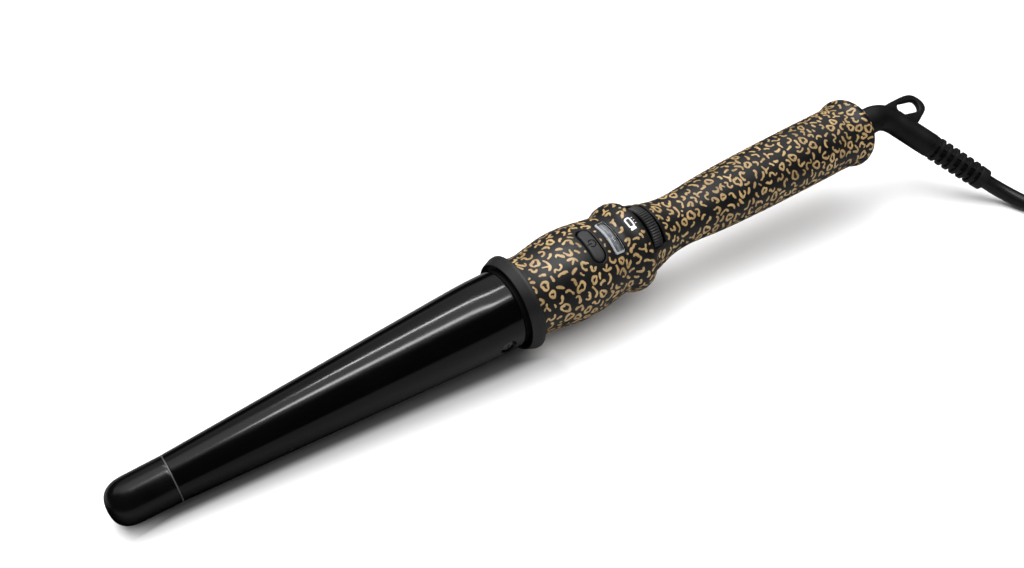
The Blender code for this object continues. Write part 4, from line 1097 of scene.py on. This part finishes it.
def mark(g, seed, scale, small=False):
    """One mark of the print, as lines of (path, half widths, closed)."""
    kind, lean, size = g.random(), g.random() * 2 * math.pi, scale * (0.95 + 0.30 * g.random())
    c, sn = math.cos(lean), math.sin(lean)

    def spin(pts):
        return [((x * c - y * sn) * size, (x * sn + y * c) * size) for x, y in pts]

    if small:
        if kind < 0.45:
            return [(*line_mark(spin([(-0.9, -0.3), (0.0, 0.12), (0.9, 0.2)]), 0.50, seed), False)]
        if kind < 0.75:
            return [(*line_mark(spin([(-1.0, 0.7), (-0.6, -0.3), (0.5, -0.6)]), 0.46, seed), False)]
        return [(*line_mark(spin([(-0.55, 0.0), (0.0, 0.05), (0.55, 0.0)]), 0.55, seed), False)]
    if kind < 0.22:
        return [hook(1.28 * size, 0, 360, 1.0 + 0.26 * g.random(), lean, seed)]
    if kind < 0.55:
        sweep = 205 + 90 * g.random()
        return [hook(1.42 * size, g.random() * 360, sweep, 1.0 + 0.32 * g.random(), lean, seed, 1.2)]
    if kind < 0.68:
        return [hook(1.55 * size, g.random() * 360, 140, 1.15, lean, seed)]
    if kind < 0.77:
        return [(*line_mark(spin([(-1.5, -1.2), (-0.2, -1.35), (0.5, -0.2), (-0.2, 0.9), (0.9, 1.6)]), 0.50, seed), False)]
    if kind < 0.86:
        out = [(*line_mark(spin([(-1.3, 1.6), (-1.0, 0.2), (-0.2, -1.1), (1.4, -1.3)]), 0.56, seed), False)]
        if g.random() < 0.5:
            out.append((*line_mark(spin([(-0.2, -1.0), (0.5, 0.1), (1.2, 1.2)]), 0.42, seed + 5000), False))
        return out
    if kind < 0.94:
        return [(*line_mark(spin([(-1.5, -1.5), (-0.5, -0.4), (0.3, 0.2), (0.2, 1.7)]), 0.54, seed), False),
                (*line_mark(spin([(0.2, 0.2), (1.0, -0.3), (1.6, -1.2)]), 0.46, seed + 5000), False)]
    return [(*line_mark(spin([(-1.3, -0.5), (0.0, 0.1), (1.3, 0.2)]), 0.62, seed), False)]


def put(lines, arc0, theta0):
    for p, w, closed in lines:
        stroke(p, w, arc0, theta0, closed, (ink_v, ink_f))
        shown = [k for k in range(len(p)) if printable(arc0 + p[k][0], p[k][1], theta0, w[k] + 0.12)]
        take([([p[k] for k in shown], [w[k] for k in shown], closed)], arc0, theta0)


for k in range(total):
    for attempt in range(26):
        loose = min(1.0, attempt / 12.0)
        u0 = float(np.clip(spread_u[k] + rng.normal() * 0.9 * loose, 0.3, arc_of[-1] - 0.3))
        t0 = float(spread_t[k] + rng.normal() * 0.9 * loose / np.interp(u0, arc_of, fine[:, 1]))
        lines = mark(rng, 1000 + 40 * k + attempt, 1.08 if attempt < 10 else 0.92 if attempt < 18 else 0.78)
        if is_free(lines, u0, t0):
            put(lines, u0, t0)
            break
# Smaller marks fill the places left between them.
for k in range(5200):
    u0 = float(np.interp(rng.random() * strip_area.sum(), strip_sum, arc_of))
    t0 = float(rng.random() * 2 * math.pi)
    lines = mark(rng, 90000 + k, 0.80 if k < 2600 else 0.95, small=k >= 2600)
    if is_free(lines, u0, t0):
        put(lines, u0, t0)
ink_mats = [0 if len(f) == 4 and {f[0] % 6, f[3] % 6} == {2, 3} else 1 for f in ink_f]
make("shell_print_marks", ink_v, ink_f, GRIP, [gold_mat, ink_edge_mat], "handle", "shell_print", sharp=30, face_mats=ink_mats)

# A white index mark for the dial: an outlined pill with one end filled in.
mark_v, mark_f = [], []
arc_mark = float(np.interp(57.3, fine[:, 0], arc_of))
cut_printable, printable = printable, (lambda *_: True)
pill = densify(round_rect(1.05, 2.15, 0.8, 6), 0.3)
stroke([(x, y - 0.75) for x, y in pill], [0.33] * len(pill), arc_mark, 0.0, True, (mark_v, mark_f))
for y in (1.95, 2.45):
    bar_path = [(x, y) for x in np.linspace(-1.30, 1.30, 12)]
    stroke(bar_path, [0.30] * 12, arc_mark, 0.0, False, (mark_v, mark_f))
for y in (-2.3, -0.9, 0.5):
    tick = [(x, y) for x in np.linspace(1.75, 2.50, 6)]
    stroke(tick, [0.15] * 6, arc_mark, 0.0, False, (mark_v, mark_f))
printable = cut_printable
make("index_mark", mark_v, mark_f, GRIP, white_mat, "handle", "shell_print", sharp=30)

# End disc inside the handle's rear rim, through which the swivel passes.
lathe("handle_end_disc", fillet([(192.4, 6.9, 0.2), (195.2, 6.9, 0.4), (195.5, 9.0, 0.6), (195.5, 13.2, 0.3), (192.4, 13.2, 0.2)]), GRIP, dark_mat, "handle", seg=128, slot="component_black")

# ------------------------------------------------------------------------ key
def nested(loops_xy, heights, s0, cap_step):
    """A cap over an outline: loops from the outside in, each at its drop below the top surface, with the middle filled."""
    pts, drops, faces, rings = [], [], [], []
    for loop, h in zip(loops_xy, heights):
        rings.append(list(range(len(pts), len(pts) + len(loop))))
        pts += loop
        drops += [h] * len(loop)
    for a, b in zip(rings, rings[1:]):
        for k in range(len(a)):
            j = (k + 1) % len(a)
            faces.append((a[k], a[j], b[j], b[k]))
    faces.append(tuple(rings[-1]))
    return pts, drops, faces, rings[0]


def button(name, spec, rad, top, bottom, edge, mat, body, slot, node, cap_step=0.5, bulge=0.0):
    s0, hx, hy = spec
    loops, heights = [], []
    last = edge[-1][0]
    more = max(3, round((hx - 0.03 - last) / cap_step))
    edge = list(edge) + [(last + (hx - 0.03 - last) * k / more, edge[-1][1]) for k in range(1, more + 1)]
    for d, h in edge:
        r = max(0.02, min(rad - d, hx - d - 0.01))
        loops.append(densify_same(round_rect(hx - d, hy - d, r, 8), 8))
        heights.append(h)
    pts, drops, faces, rim = nested(loops, heights, s0, cap_step)
    pa = np.array(pts)
    z_top = np.array([top(s0 + x, y) for x, y in pts]) - np.array(drops)
    upper = np.stack([s0 + pa[:, 0], pa[:, 1], z_top], axis=1)
    base = np.array([(s0 + pts[i][0], pts[i][1], bottom) for i in rim])
    n = len(upper)
    walls = [(rim[(k + 1) % len(rim)], rim[k], n + k, n + (k + 1) % len(rim)) for k in range(len(rim))]
    floor_face = [tuple(n + k for k in range(len(rim)))]
    verts = np.vstack([upper, base])
    return verts, faces + walls + floor_face


def densify_same(pts, per):
    """Each side of the outline cut into the same number of parts whatever its size, so that nested outlines match."""
    out = []
    q = len(pts) // 4
    for i, a in enumerate(pts):
        b = pts[(i + 1) % len(pts)]
        n = per * 5 if (i % q == q - 1) else 1
        out += [(a[0] + (b[0] - a[0]) * k / n, a[1] + (b[1] - a[1]) * k / n) for k in range(n)]
    return out


def key_top(s, y):
    r = 19.3 + (18.8 - 19.3) * (s - 33.0) / 10.0
    r = r + 0.02
    base = math.sqrt(max(1.0, r * r - y * y))
    return base


v, f = button("key", (38.0, 2.64, 7.45), 2.62, key_top, 14.0, [(0.0, 0.85), (0.03, 0.55), (0.12, 0.30), (0.28, 0.13), (0.5, 0.04), (0.8, 0.0)], key_mat, "power_key", "key_plastic", "power_key")
parts = [(v, f)]
# The sign for on and off, cut in: a ring with its gap, and a bar through it,
# towards the barrel.
button_obj = make("power_button", v, f, GRIP, key_mat, "power_key", "key_plastic", ("power_key",), sharp=50)
sign = []
ring_path = []
for k in range(37):
    a = math.radians(180 + 40 + 280 * k / 36)
    x, y = 38.1 + 1.55 * math.cos(a), 1.55 * math.sin(a)
    ring_path.append((x, y, key_top(x, y) + 0.02))
sign.append(swept(ring_path, [0.25] * len(ring_path), 10))
bar = [(x, 0.0, key_top(x, 0.0) + 0.02) for x in np.linspace(35.85, 37.95, 8)]
sign.append(swept(bar, [0.25] * len(bar), 10))
# The grooves of the sign take the black that paints shade, from the cutters.
for part in sign:
    cut(button_obj, raw(part, "sign", GRIP), 50)


# --------------------------------------------------------------------- window
def lens_top(s, y):
    r = 18.45 + (17.45 - 18.45) * (s - 42.8) / 10.0
    return math.sqrt(max(1.0, r * r - y * y))


v, f = button("lens", WINDOW, 1.1, lens_top, 15.0, [(0.0, 0.80), (0.03, 0.66), (0.34, 0.12), (0.42, 0.03), (0.52, 0.0)], lens_mat, "handle", "window_clear", "display_window")
around = len(densify_same(round_rect(1, 2, 0.5, 8), 8))
# The lens's bevel faces take the light grey that paints their edge highlight.
rim_faces = [1 if k < 4 * around else 0 for k in range(len(f))]
make("display_lens", v, f, GRIP, [lens_mat, edge_mat], "handle", "window_clear", ("display_window",), sharp=30, face_mats=rim_faces)
# Silver-grey panel under the lens, bowed like it.
rows_v, rows_f = [], []
xs, ys = np.linspace(-2.05, 2.05, 9), np.linspace(-7.3, 7.3, 41)
for x in xs:
    for y in ys:
        rows_v.append((47.8 + x, y, lens_top(47.8 + x, y) - 1.25))
for x in xs:
    for y in ys:
        rows_v.append((47.8 + x, y, lens_top(47.8 + x, y) - 1.85))
m = len(ys)
n0 = len(xs) * m
for i in range(len(xs) - 1):
    for j in range(m - 1):
        q = (i * m + j, i * m + j + 1, (i + 1) * m + j + 1, (i + 1) * m + j)
        rows_f.append(q)
        rows_f.append(tuple(n0 + k for k in reversed(q)))
for i in range(len(xs) - 1):
    for j in (0, m - 1):
        rows_f.append((i * m + j, (i + 1) * m + j, n0 + (i + 1) * m + j, n0 + i * m + j))
for j in range(m - 1):
    for i in (0, len(xs) - 1):
        rows_f.append((i * m + j, i * m + j + 1, n0 + i * m + j + 1, n0 + i * m + j))
make("display_panel", rows_v, rows_f, GRIP, display_mat, "handle", "display_grey", ("display_module",))

# ----------------------------------------------------------------------- dial
# Thumbwheel with rounded ribs; its flanks are dished, and carry the black that paints the shade in the slot.
teeth, per = 64, 10
verts, faces = [], []
ring_n = teeth * per


def rib(k):
    t = (k % per) / per
    return 0.5 - 0.5 * math.cos(2 * math.pi * t)


DIAL_R = 11.75
dial_rows = [(64.9, 3.2, 0), (64.9, 9.3, 0), (64.94, DIAL_R - 1.1, 0.3), (65.05, DIAL_R - 0.45, 0.8), (65.35, DIAL_R - 0.12, 1.0), (65.8, DIAL_R, 1.0), (67.3, DIAL_R, 1.0),
             (68.9, DIAL_R, 1.0), (69.35, DIAL_R - 0.12, 1.0), (69.65, DIAL_R - 0.45, 0.8), (69.76, DIAL_R - 1.1, 0.3), (69.8, 9.3, 0), (69.8, 3.2, 0)]
for s, r, k_rib in dial_rows:
    for k in range(ring_n):
        a = 2 * math.pi * k / ring_n
        rr = r + 0.38 * k_rib * rib(k) ** 0.7
        verts.append((s, -rr * math.sin(a), 4.0 + rr * math.cos(a)))
for i in range(len(dial_rows)):
    q = (i + 1) % len(dial_rows)
    for k in range(ring_n):
        j = (k + 1) % ring_n
        faces.append((i * ring_n + k, q * ring_n + k, q * ring_n + j, i * ring_n + j))
# The flanks take the black that paints shade.
flanks = [1 if i in (0, 1, 2, len(dial_rows) - 4, len(dial_rows) - 3, len(dial_rows) - 2, len(dial_rows) - 1) else 0 for i in range(len(dial_rows)) for _ in range(ring_n)]
make("dial_wheel", verts, faces, GRIP, [dial_mat, shade_black_mat], "temperature_dial", "dial_plastic", ("temperature_dial",), sharp=60, face_mats=flanks)

# ---------------------------------------------------------------------- elbow
bend = math.radians(59.6)
BEND_S, FILLET = 217.5, 13.0
half = FILLET * math.tan(bend / 2)
out_dir = Vector((math.sin(bend), 0, -math.cos(bend)))
path, radii = [], []
for s in np.linspace(196.0, BEND_S - half, 12):
    path.append((s, 0, 0))
    radii.append(6.4)
for k in range(1, 21):
    t = bend * k / 20
    path.append((BEND_S - half + FILLET * math.sin(t), 0, FILLET * (1 - math.cos(t))))
    radii.append(6.4 - 0.7 * k / 20)
for t in np.linspace(half + 1.0, 28.0, 14):
    p = Vector((BEND_S, 0, 0)) + leg_dir * t
    path.append(tuple(p))
    radii.append(5.7)
tube_part = swept(path, radii, 64)
ear = [(0.0, -2.6), (5.4, -3.2), (12.0, -3.3), (18.4, -2.9), (21.6, -1.6), (24.0, 1.4), (24.9, 4.8), (23.7, 7.5),
       (19.4, 9.9), (14.4, 12.0), (9.0, 14.0), (4.0, 7.0), (-4.0, 0.0)]
ear = [tuple(p) for p in spline(ear, 0.8)]
hole = []
for u, w in densify(round_rect(6.2, 2.95, 2.6, 10), 0.5):
    c, s = math.cos(math.radians(12)), math.sin(math.radians(12))
    hole.append((15.2 + u * c - w * s, 2.95 + u * s + w * c))


def slab(outline, lo, hi):
    v = [(BEND_S + p, y, q) for y in (lo, hi) for p, q in outline]
    n = len(outline)
    f = [(k, (k + 1) % n, n + (k + 1) % n, n + k) for k in range(n)]
    return v, f + [tuple(range(n)), tuple(reversed(range(n, 2 * n)))]


ear_obj = raw(slab(ear, -1.45, 1.45), "work_ear")
hole_obj = raw(slab(hole, -6, 6), "work_hole")
mod = ear_obj.modifiers.new("hole", "BOOLEAN")
mod.object, mod.solver, mod.operation = hole_obj, "EXACT", "DIFFERENCE"
baked(ear_obj)
mod = ear_obj.modifiers.new("round", "BEVEL")
mod.width, mod.segments, mod.limit_method, mod.angle_limit = 0.7 * MM, 4, "ANGLE", math.radians(50)
baked(ear_obj)
tube_obj = raw(tube_part, "work_tube")
bm = bmesh.new()
bm.from_mesh(ear_obj.data)
bm.from_mesh(tube_obj.data)
body_mesh = bpy.data.meshes.new("elbow")
bm.to_mesh(body_mesh)
bm.free()
elbow = bpy.data.objects.new("elbow", body_mesh)
SCENE.objects.link(elbow)
mod = elbow.modifiers.new("remesh", "REMESH")
mod.mode, mod.voxel_size, mod.use_smooth_shade = "VOXEL", 0.26 * MM, True
mod = elbow.modifiers.new("smooth", "SMOOTH")
mod.factor, mod.iterations = 0.5, 12
baked(elbow)
for o in (ear_obj, hole_obj, tube_obj):
    bpy.data.objects.remove(o)
# the join is softened, then the whole is placed
elbow.data.transform(SWIVEL)
elbow.data.materials.clear()
elbow.data.materials.append(swivel_mat)
elbow.data.shade_smooth()
place(elbow, "cord_swivel", "swivel_plastic", ("elbow_housing",))
lathe("elbow_flange", fillet([(196.2, 3.9, 0), (196.2, 8.6, 0.25), (197.7, 8.6, 0.5), (199.0, 7.5, 0.8), (199.7, 6.5, 0.6), (201.2, 6.3, 0), (201.2, 3.9, 0)]),
      SWIVEL, swivel_mat, "cord_swivel", seg=96, slot="swivel_plastic")

# --------------------------------------------------------------- strain relief
LEG = SWIVEL @ Matrix.Translation((BEND_S * MM, 0, 0)) @ Matrix.Rotation(-bend, 4, "Y")
FACE_A = -46.0  # the side that the openings look to, from +Z towards -Y


def ring_part(s0, s1, r0, r1, a0, a1, steps):
    """A part of a thick tube, from angle a0 to a1, closed."""
    v, f = [], []
    for s in (s0, s1):
        for r in (r0, r1):
            for k in range(steps + 1):
                a = math.radians(a0 + (a1 - a0) * k / steps)
                v.append((s, -r * math.sin(a), r * math.cos(a)))
    m = steps + 1

    def ix(i, j, k):
        return (i * 2 + j) * m + k

    for k in range(steps):
        f.append((ix(0, 1, k), ix(0, 1, k + 1), ix(1, 1, k + 1), ix(1, 1, k)))
        f.append((ix(0, 0, k), ix(1, 0, k), ix(1, 0, k + 1), ix(0, 0, k + 1)))
        for i in (0, 1):
            f.append((ix(i, 0, k), ix(i, 0, k + 1), ix(i, 1, k + 1), ix(i, 1, k)))
    for k in (0, steps):
        f.append((ix(0, 0, k), ix(0, 1, k), ix(1, 1, k), ix(1, 0, k)))
    return v, f


parts = []
parts.append(turned([(27.6, 0), (27.6, 3.75), (57.9, 3.75), (58.6, 3.6), (58.6, 0)], 48))
parts.append(turned(fillet([(27.9, 3.6, 0), (27.9, 5.5, 0), (29.55, 5.45, 0.18), (29.55, 3.6, 0)]), 72))
for k in range(6):
    c = 31.6 + 4.0 * k
    r = 5.80 - 0.05 * k
    parts.append(turned(fillet([(c - 0.78, 3.6, 0), (c - 0.76, r, 0.07), (c + 0.76, r, 0.07), (c + 0.78, 3.6, 0)]), 72))
parts.append(turned(fillet([(54.3, 3.6, 0), (54.3, 5.35, 0.2), (58.6, 5.2, 0.35), (58.6, 4.15, 0.25), (58.9, 3.6, 0)]), 72))
spots = [(28.6, 31.6)] + [(31.6 + 4.0 * k, 35.6 + 4.0 * k) for k in range(5)] + [(51.6, 55.2)]
for s0, s1 in spots:
    for a in (FACE_A, FACE_A + 180.0):
        parts.append(ring_part(s0, s1, 3.5, 4.32, a + 27.0, a + 153.0, 24))
core_faces = len(parts[0][1])
v, f = joined(parts)
# The core takes the black that paints shade, so that the windows in the relief read as deep shade.
make("cord_relief", v, f, LEG, [relief_mat, shade_black_mat], "cord_swivel", "relief_rubber", ("strain_relief",), sharp=40, face_mats=[1] * core_faces + [0] * (len(f) - core_faces))

# A small moulding mark on the leg beside the ear: a flat dark disc whose black paints the shade of a hollow.
dot_a = math.radians(-61.0)
dot_out = Vector((0, -math.sin(dot_a), math.cos(dot_a)))
dot_m = Matrix.Translation(Vector((8.4, 0, 0)) + dot_out * 5.5) @ dot_out.to_track_quat("X", "Z").to_matrix().to_4x4()
v, f = moved(turned([(-0.8, 0), (-0.8, 0.62), (0.235, 0.62), (0.26, 0.56), (0.10, 0.46), (0.02, 0)], 32), dot_m)
make("elbow_pip", v, f, LEG, shade_black_mat, "cord_swivel", "swivel_plastic")

# ------------------------------------------------ materials of the CAD parts
LOOK = {
    "steel": steel_mat, "brass": brass_mat, "aluminium": aluminium_mat, "phenolic": phenolic_mat, "pcb_green": board_mat,
    "component_black": dark_mat, "heater_ceramic": ceramic_mat, "mica": mica_mat, "lead_insulation": lead_mat,
    "swivel_plastic": swivel_mat, "key_plastic": key_mat, "dial_plastic": dial_mat, "display_grey": display_mat,
    "barrel_ceramic": barrel_mat, "tip_plastic": tip_mat, "collar_plastic": collar_mat, "relief_rubber": relief_mat,
    "cord_pvc": cord_mat, "shell_print": shell_mat, "window_clear": lens_mat,
}
slots = {row["node"]: row["material_slot"] for row in frame["record"]["subparts"]}
for node, obj in frame["nodes"].items():
    look = LOOK.get(slots.get(node), dark_mat)
    if not obj.data.materials:
        obj.data.materials.append(look)
    for k in range(len(obj.data.materials)):
        obj.data.materials[k] = look
        obj.material_slots[k].material = look

# ------------------------------------------------------------ floor and light
floor_mat = bpy.data.materials.new("floor")
floor_mat.use_nodes = True
nt = floor_mat.node_tree
n = nt.nodes["Principled BSDF"]
# Painted contact shadow: the floor's colour darkens softly under the barrel.
tc = nt.nodes.new("ShaderNodeTexCoord")
sep = nt.nodes.new("ShaderNodeSeparateXYZ")
nt.links.new(tc.outputs["Object"], sep.inputs[0])
aside, scaled = nt.nodes.new("ShaderNodeMath"), nt.nodes.new("ShaderNodeMath")
aside.operation, scaled.operation = "SUBTRACT", "MULTIPLY"
aside.inputs[1].default_value = SHIFT_Y * MM
nt.links.new(sep.outputs["Y"], aside.inputs[0])
nt.links.new(aside.outputs[0], scaled.inputs[0])
# It's narrower towards the thin end.
nt.links.new(span(nt, sep.outputs["X"], -0.187, -0.059, 1.7, 1.0), scaled.inputs[1])
side = nt.nodes.new("ShaderNodeMath")
side.operation = "ADD"
nt.links.new(span(nt, scaled.outputs[0], -0.0162, -0.0098, 0.87, 0.0, smooth=True), side.inputs[0])
nt.links.new(span(nt, scaled.outputs[0], -0.048, -0.014, 0.13, 0.0), side.inputs[1])
shade = [
    side.outputs[0],
    span(nt, scaled.outputs[0], 0.006, 0.014, 0.0, 1.0, smooth=True),
    span(nt, sep.outputs["X"], -0.206, -0.184, 1.0, 0.0, smooth=True),
    span(nt, sep.outputs["X"], -0.050, -0.032, 0.0, 1.0, smooth=True),
]
while len(shade) > 1:
    most = nt.nodes.new("ShaderNodeMath")
    most.operation = "MAXIMUM"
    nt.links.new(shade.pop(), most.inputs[0])
    nt.links.new(shade.pop(), most.inputs[1])
    shade.append(most.outputs[0])
# The painted shadow's dark grey, blended into the floor's white.
nt.links.new(tint(nt, shade[0], (0.17, 0.17, 0.17), (0.91, 0.91, 0.915)), n.inputs["Base Color"])
n.inputs["Roughness"].default_value = 0.75
n.inputs["Specular IOR Level"].default_value = 0.25
mesh = bpy.data.meshes.new("floor")
mesh.from_pydata([(-6, -6, -0.0002), (6, -6, -0.0002), (6, 6, -0.0002), (-6, 6, -0.0002)], [], [(0, 1, 2, 3)])
mesh.materials.append(floor_mat)
floor = bpy.data.objects.new("floor", mesh)
SCENE.objects.link(floor)
floor.visible_glossy = False
glow_mat = bpy.data.materials.new("floor_glow")
glow_mat.use_nodes = True
nt = glow_mat.node_tree
nt.nodes.remove(nt.nodes["Principled BSDF"])
glow = nt.nodes.new("ShaderNodeEmission")
nt.links.new(glow.outputs[0], nt.nodes["Material Output"].inputs["Surface"])
tc = nt.nodes.new("ShaderNodeTexCoord")
length = nt.nodes.new("ShaderNodeVectorMath")
length.operation = "LENGTH"
nt.links.new(tc.outputs["Object"], length.inputs[0])
sep = nt.nodes.new("ShaderNodeSeparateXYZ")
nt.links.new(tc.outputs["Object"], sep.inputs[0])
aside, off, lit = (nt.nodes.new("ShaderNodeMath") for _ in range(3))
aside.operation, off.operation, lit.operation = "SUBTRACT", "ABSOLUTE", "MULTIPLY"
aside.inputs[1].default_value = SHIFT_Y * MM
nt.links.new(sep.outputs["Y"], aside.inputs[0])
nt.links.new(aside.outputs[0], off.inputs[0])
nt.links.new(span(nt, off.outputs[0], 0.006, 0.030, 0.0, 1.0, smooth=True), lit.inputs[0])
nt.links.new(span(nt, length.outputs["Value"], 0.02, 0.75, 0.42, 0.0, smooth=True), lit.inputs[1])
nt.links.new(lit.outputs[0], glow.inputs["Strength"])
mesh = bpy.data.meshes.new("floor_glow")
mesh.from_pydata([(-0.8, -0.8, -0.0004), (0.8, -0.8, -0.0004), (0.8, 0.8, -0.0004), (-0.8, 0.8, -0.0004)], [], [(0, 1, 2, 3)])
mesh.materials.append(glow_mat)
glow_floor = bpy.data.objects.new("floor_glow", mesh)
SCENE.objects.link(glow_floor)
glow_floor.visible_camera = glow_floor.visible_diffuse = glow_floor.visible_shadow = glow_floor.visible_transmission = False
# A dim broad ceiling, mirrored round and between the two tubes.
sky_mat = bpy.data.materials.new("ceiling_glow")
sky_mat.use_nodes = True
nt = sky_mat.node_tree
nt.nodes.remove(nt.nodes["Principled BSDF"])
glow = nt.nodes.new("ShaderNodeEmission")
nt.links.new(glow.outputs[0], nt.nodes["Material Output"].inputs["Surface"])
tc = nt.nodes.new("ShaderNodeTexCoord")
sep = nt.nodes.new("ShaderNodeSeparateXYZ")
nt.links.new(tc.outputs["Object"], sep.inputs[0])
rise = span(nt, sep.outputs["Y"], -0.62, -0.16, 0.0, 1.7, smooth=True)
fall = span(nt, sep.outputs["Y"], 0.50, 0.70, 1.0, 0.42, smooth=True)
near_end = span(nt, sep.outputs["X"], 0.2, 1.3, 1.0, 0.5, smooth=True)
for other in (fall, near_end):
    both = nt.nodes.new("ShaderNodeMath")
    both.operation = "MULTIPLY"
    nt.links.new(rise, both.inputs[0])
    nt.links.new(other, both.inputs[1])
    rise = both.outputs[0]
nt.links.new(rise, glow.inputs["Strength"])
mesh = bpy.data.meshes.new("ceiling_glow")
mesh.from_pydata([(-1.0, -0.65, 0), (2.2, -0.65, 0), (2.2, 4.0, 0), (-1.0, 4.0, 0)], [], [(0, 1, 2, 3)])
mesh.materials.append(sky_mat)
ceiling = bpy.data.objects.new("ceiling_glow", mesh)
SCENE.objects.link(ceiling)
ceiling.matrix_world = Matrix(((-0.757, 0.653, 0, 0), (0.653, 0.757, 0, 0), (0, 0, 1, 1.52), (0, 0, 0, 1)))
ceiling.visible_camera = ceiling.visible_diffuse = ceiling.visible_shadow = ceiling.visible_transmission = False

world = bpy.data.worlds.new("world")
world.use_nodes = True
world.node_tree.nodes["Background"].inputs["Color"].default_value = (1.0, 1.0, 1.0, 1)
# The sky is a white dome that fades towards the horizon.
nt = world.node_tree
tc = nt.nodes.new("ShaderNodeTexCoord")
sep = nt.nodes.new("ShaderNodeSeparateXYZ")
nt.links.new(tc.outputs["Generated"], sep.inputs[0])
nt.links.new(span(nt, sep.outputs["Z"], 0.28, 0.97, 0.03, 2.15, smooth=True), nt.nodes["Background"].inputs["Strength"])
world.cycles_visibility.glossy = False
bpy.context.scene.world = world


def area(name, place_at, aim, size_x, size_y, watts, spread=180.0, mirrored=True):
    data = bpy.data.lights.new(name, "AREA")
    data.shape, data.size, data.size_y, data.energy = "RECTANGLE", size_x, size_y, watts
    data.spread = math.radians(spread)
    obj = bpy.data.objects.new(name, data)
    SCENE.objects.link(obj)
    obj.location = place_at
    d = Vector(aim) - Vector(place_at)
    obj.rotation_mode = "QUATERNION"
    obj.rotation_quaternion = d.to_track_quat("-Z", "Y")
    obj.visible_glossy = mirrored
    return obj


def tube(name, place_at, along, length, width, watts):
    """A long light overhead that faces straight down and runs along a level direction."""
    obj = area(name, place_at, (place_at[0], place_at[1], 0.0), length, width, watts)
    x = Vector((along[0], along[1], 0)).normalized()
    z = Vector((0, 0, 1))
    y = z.cross(x)
    obj.rotation_quaternion = Matrix((x, y, z)).transposed().to_quaternion()
    obj.visible_diffuse = False


area("key_light", (-0.30, 0.62, 1.35), (0, 0, 0), 1.4, 1.0, 16, mirrored=False)
tube("main_tube", (0.12, -0.32, 1.5), (-0.757, 0.653), 0.93, 0.15, 8.2)
tube("second_tube", (0.185, 0.534, 1.5), (-0.757, 0.653), 0.72, 0.085, 6.0)

bpy.context.scene.view_settings.view_transform = "Standard"
bpy.context.scene.view_settings.look = "None"
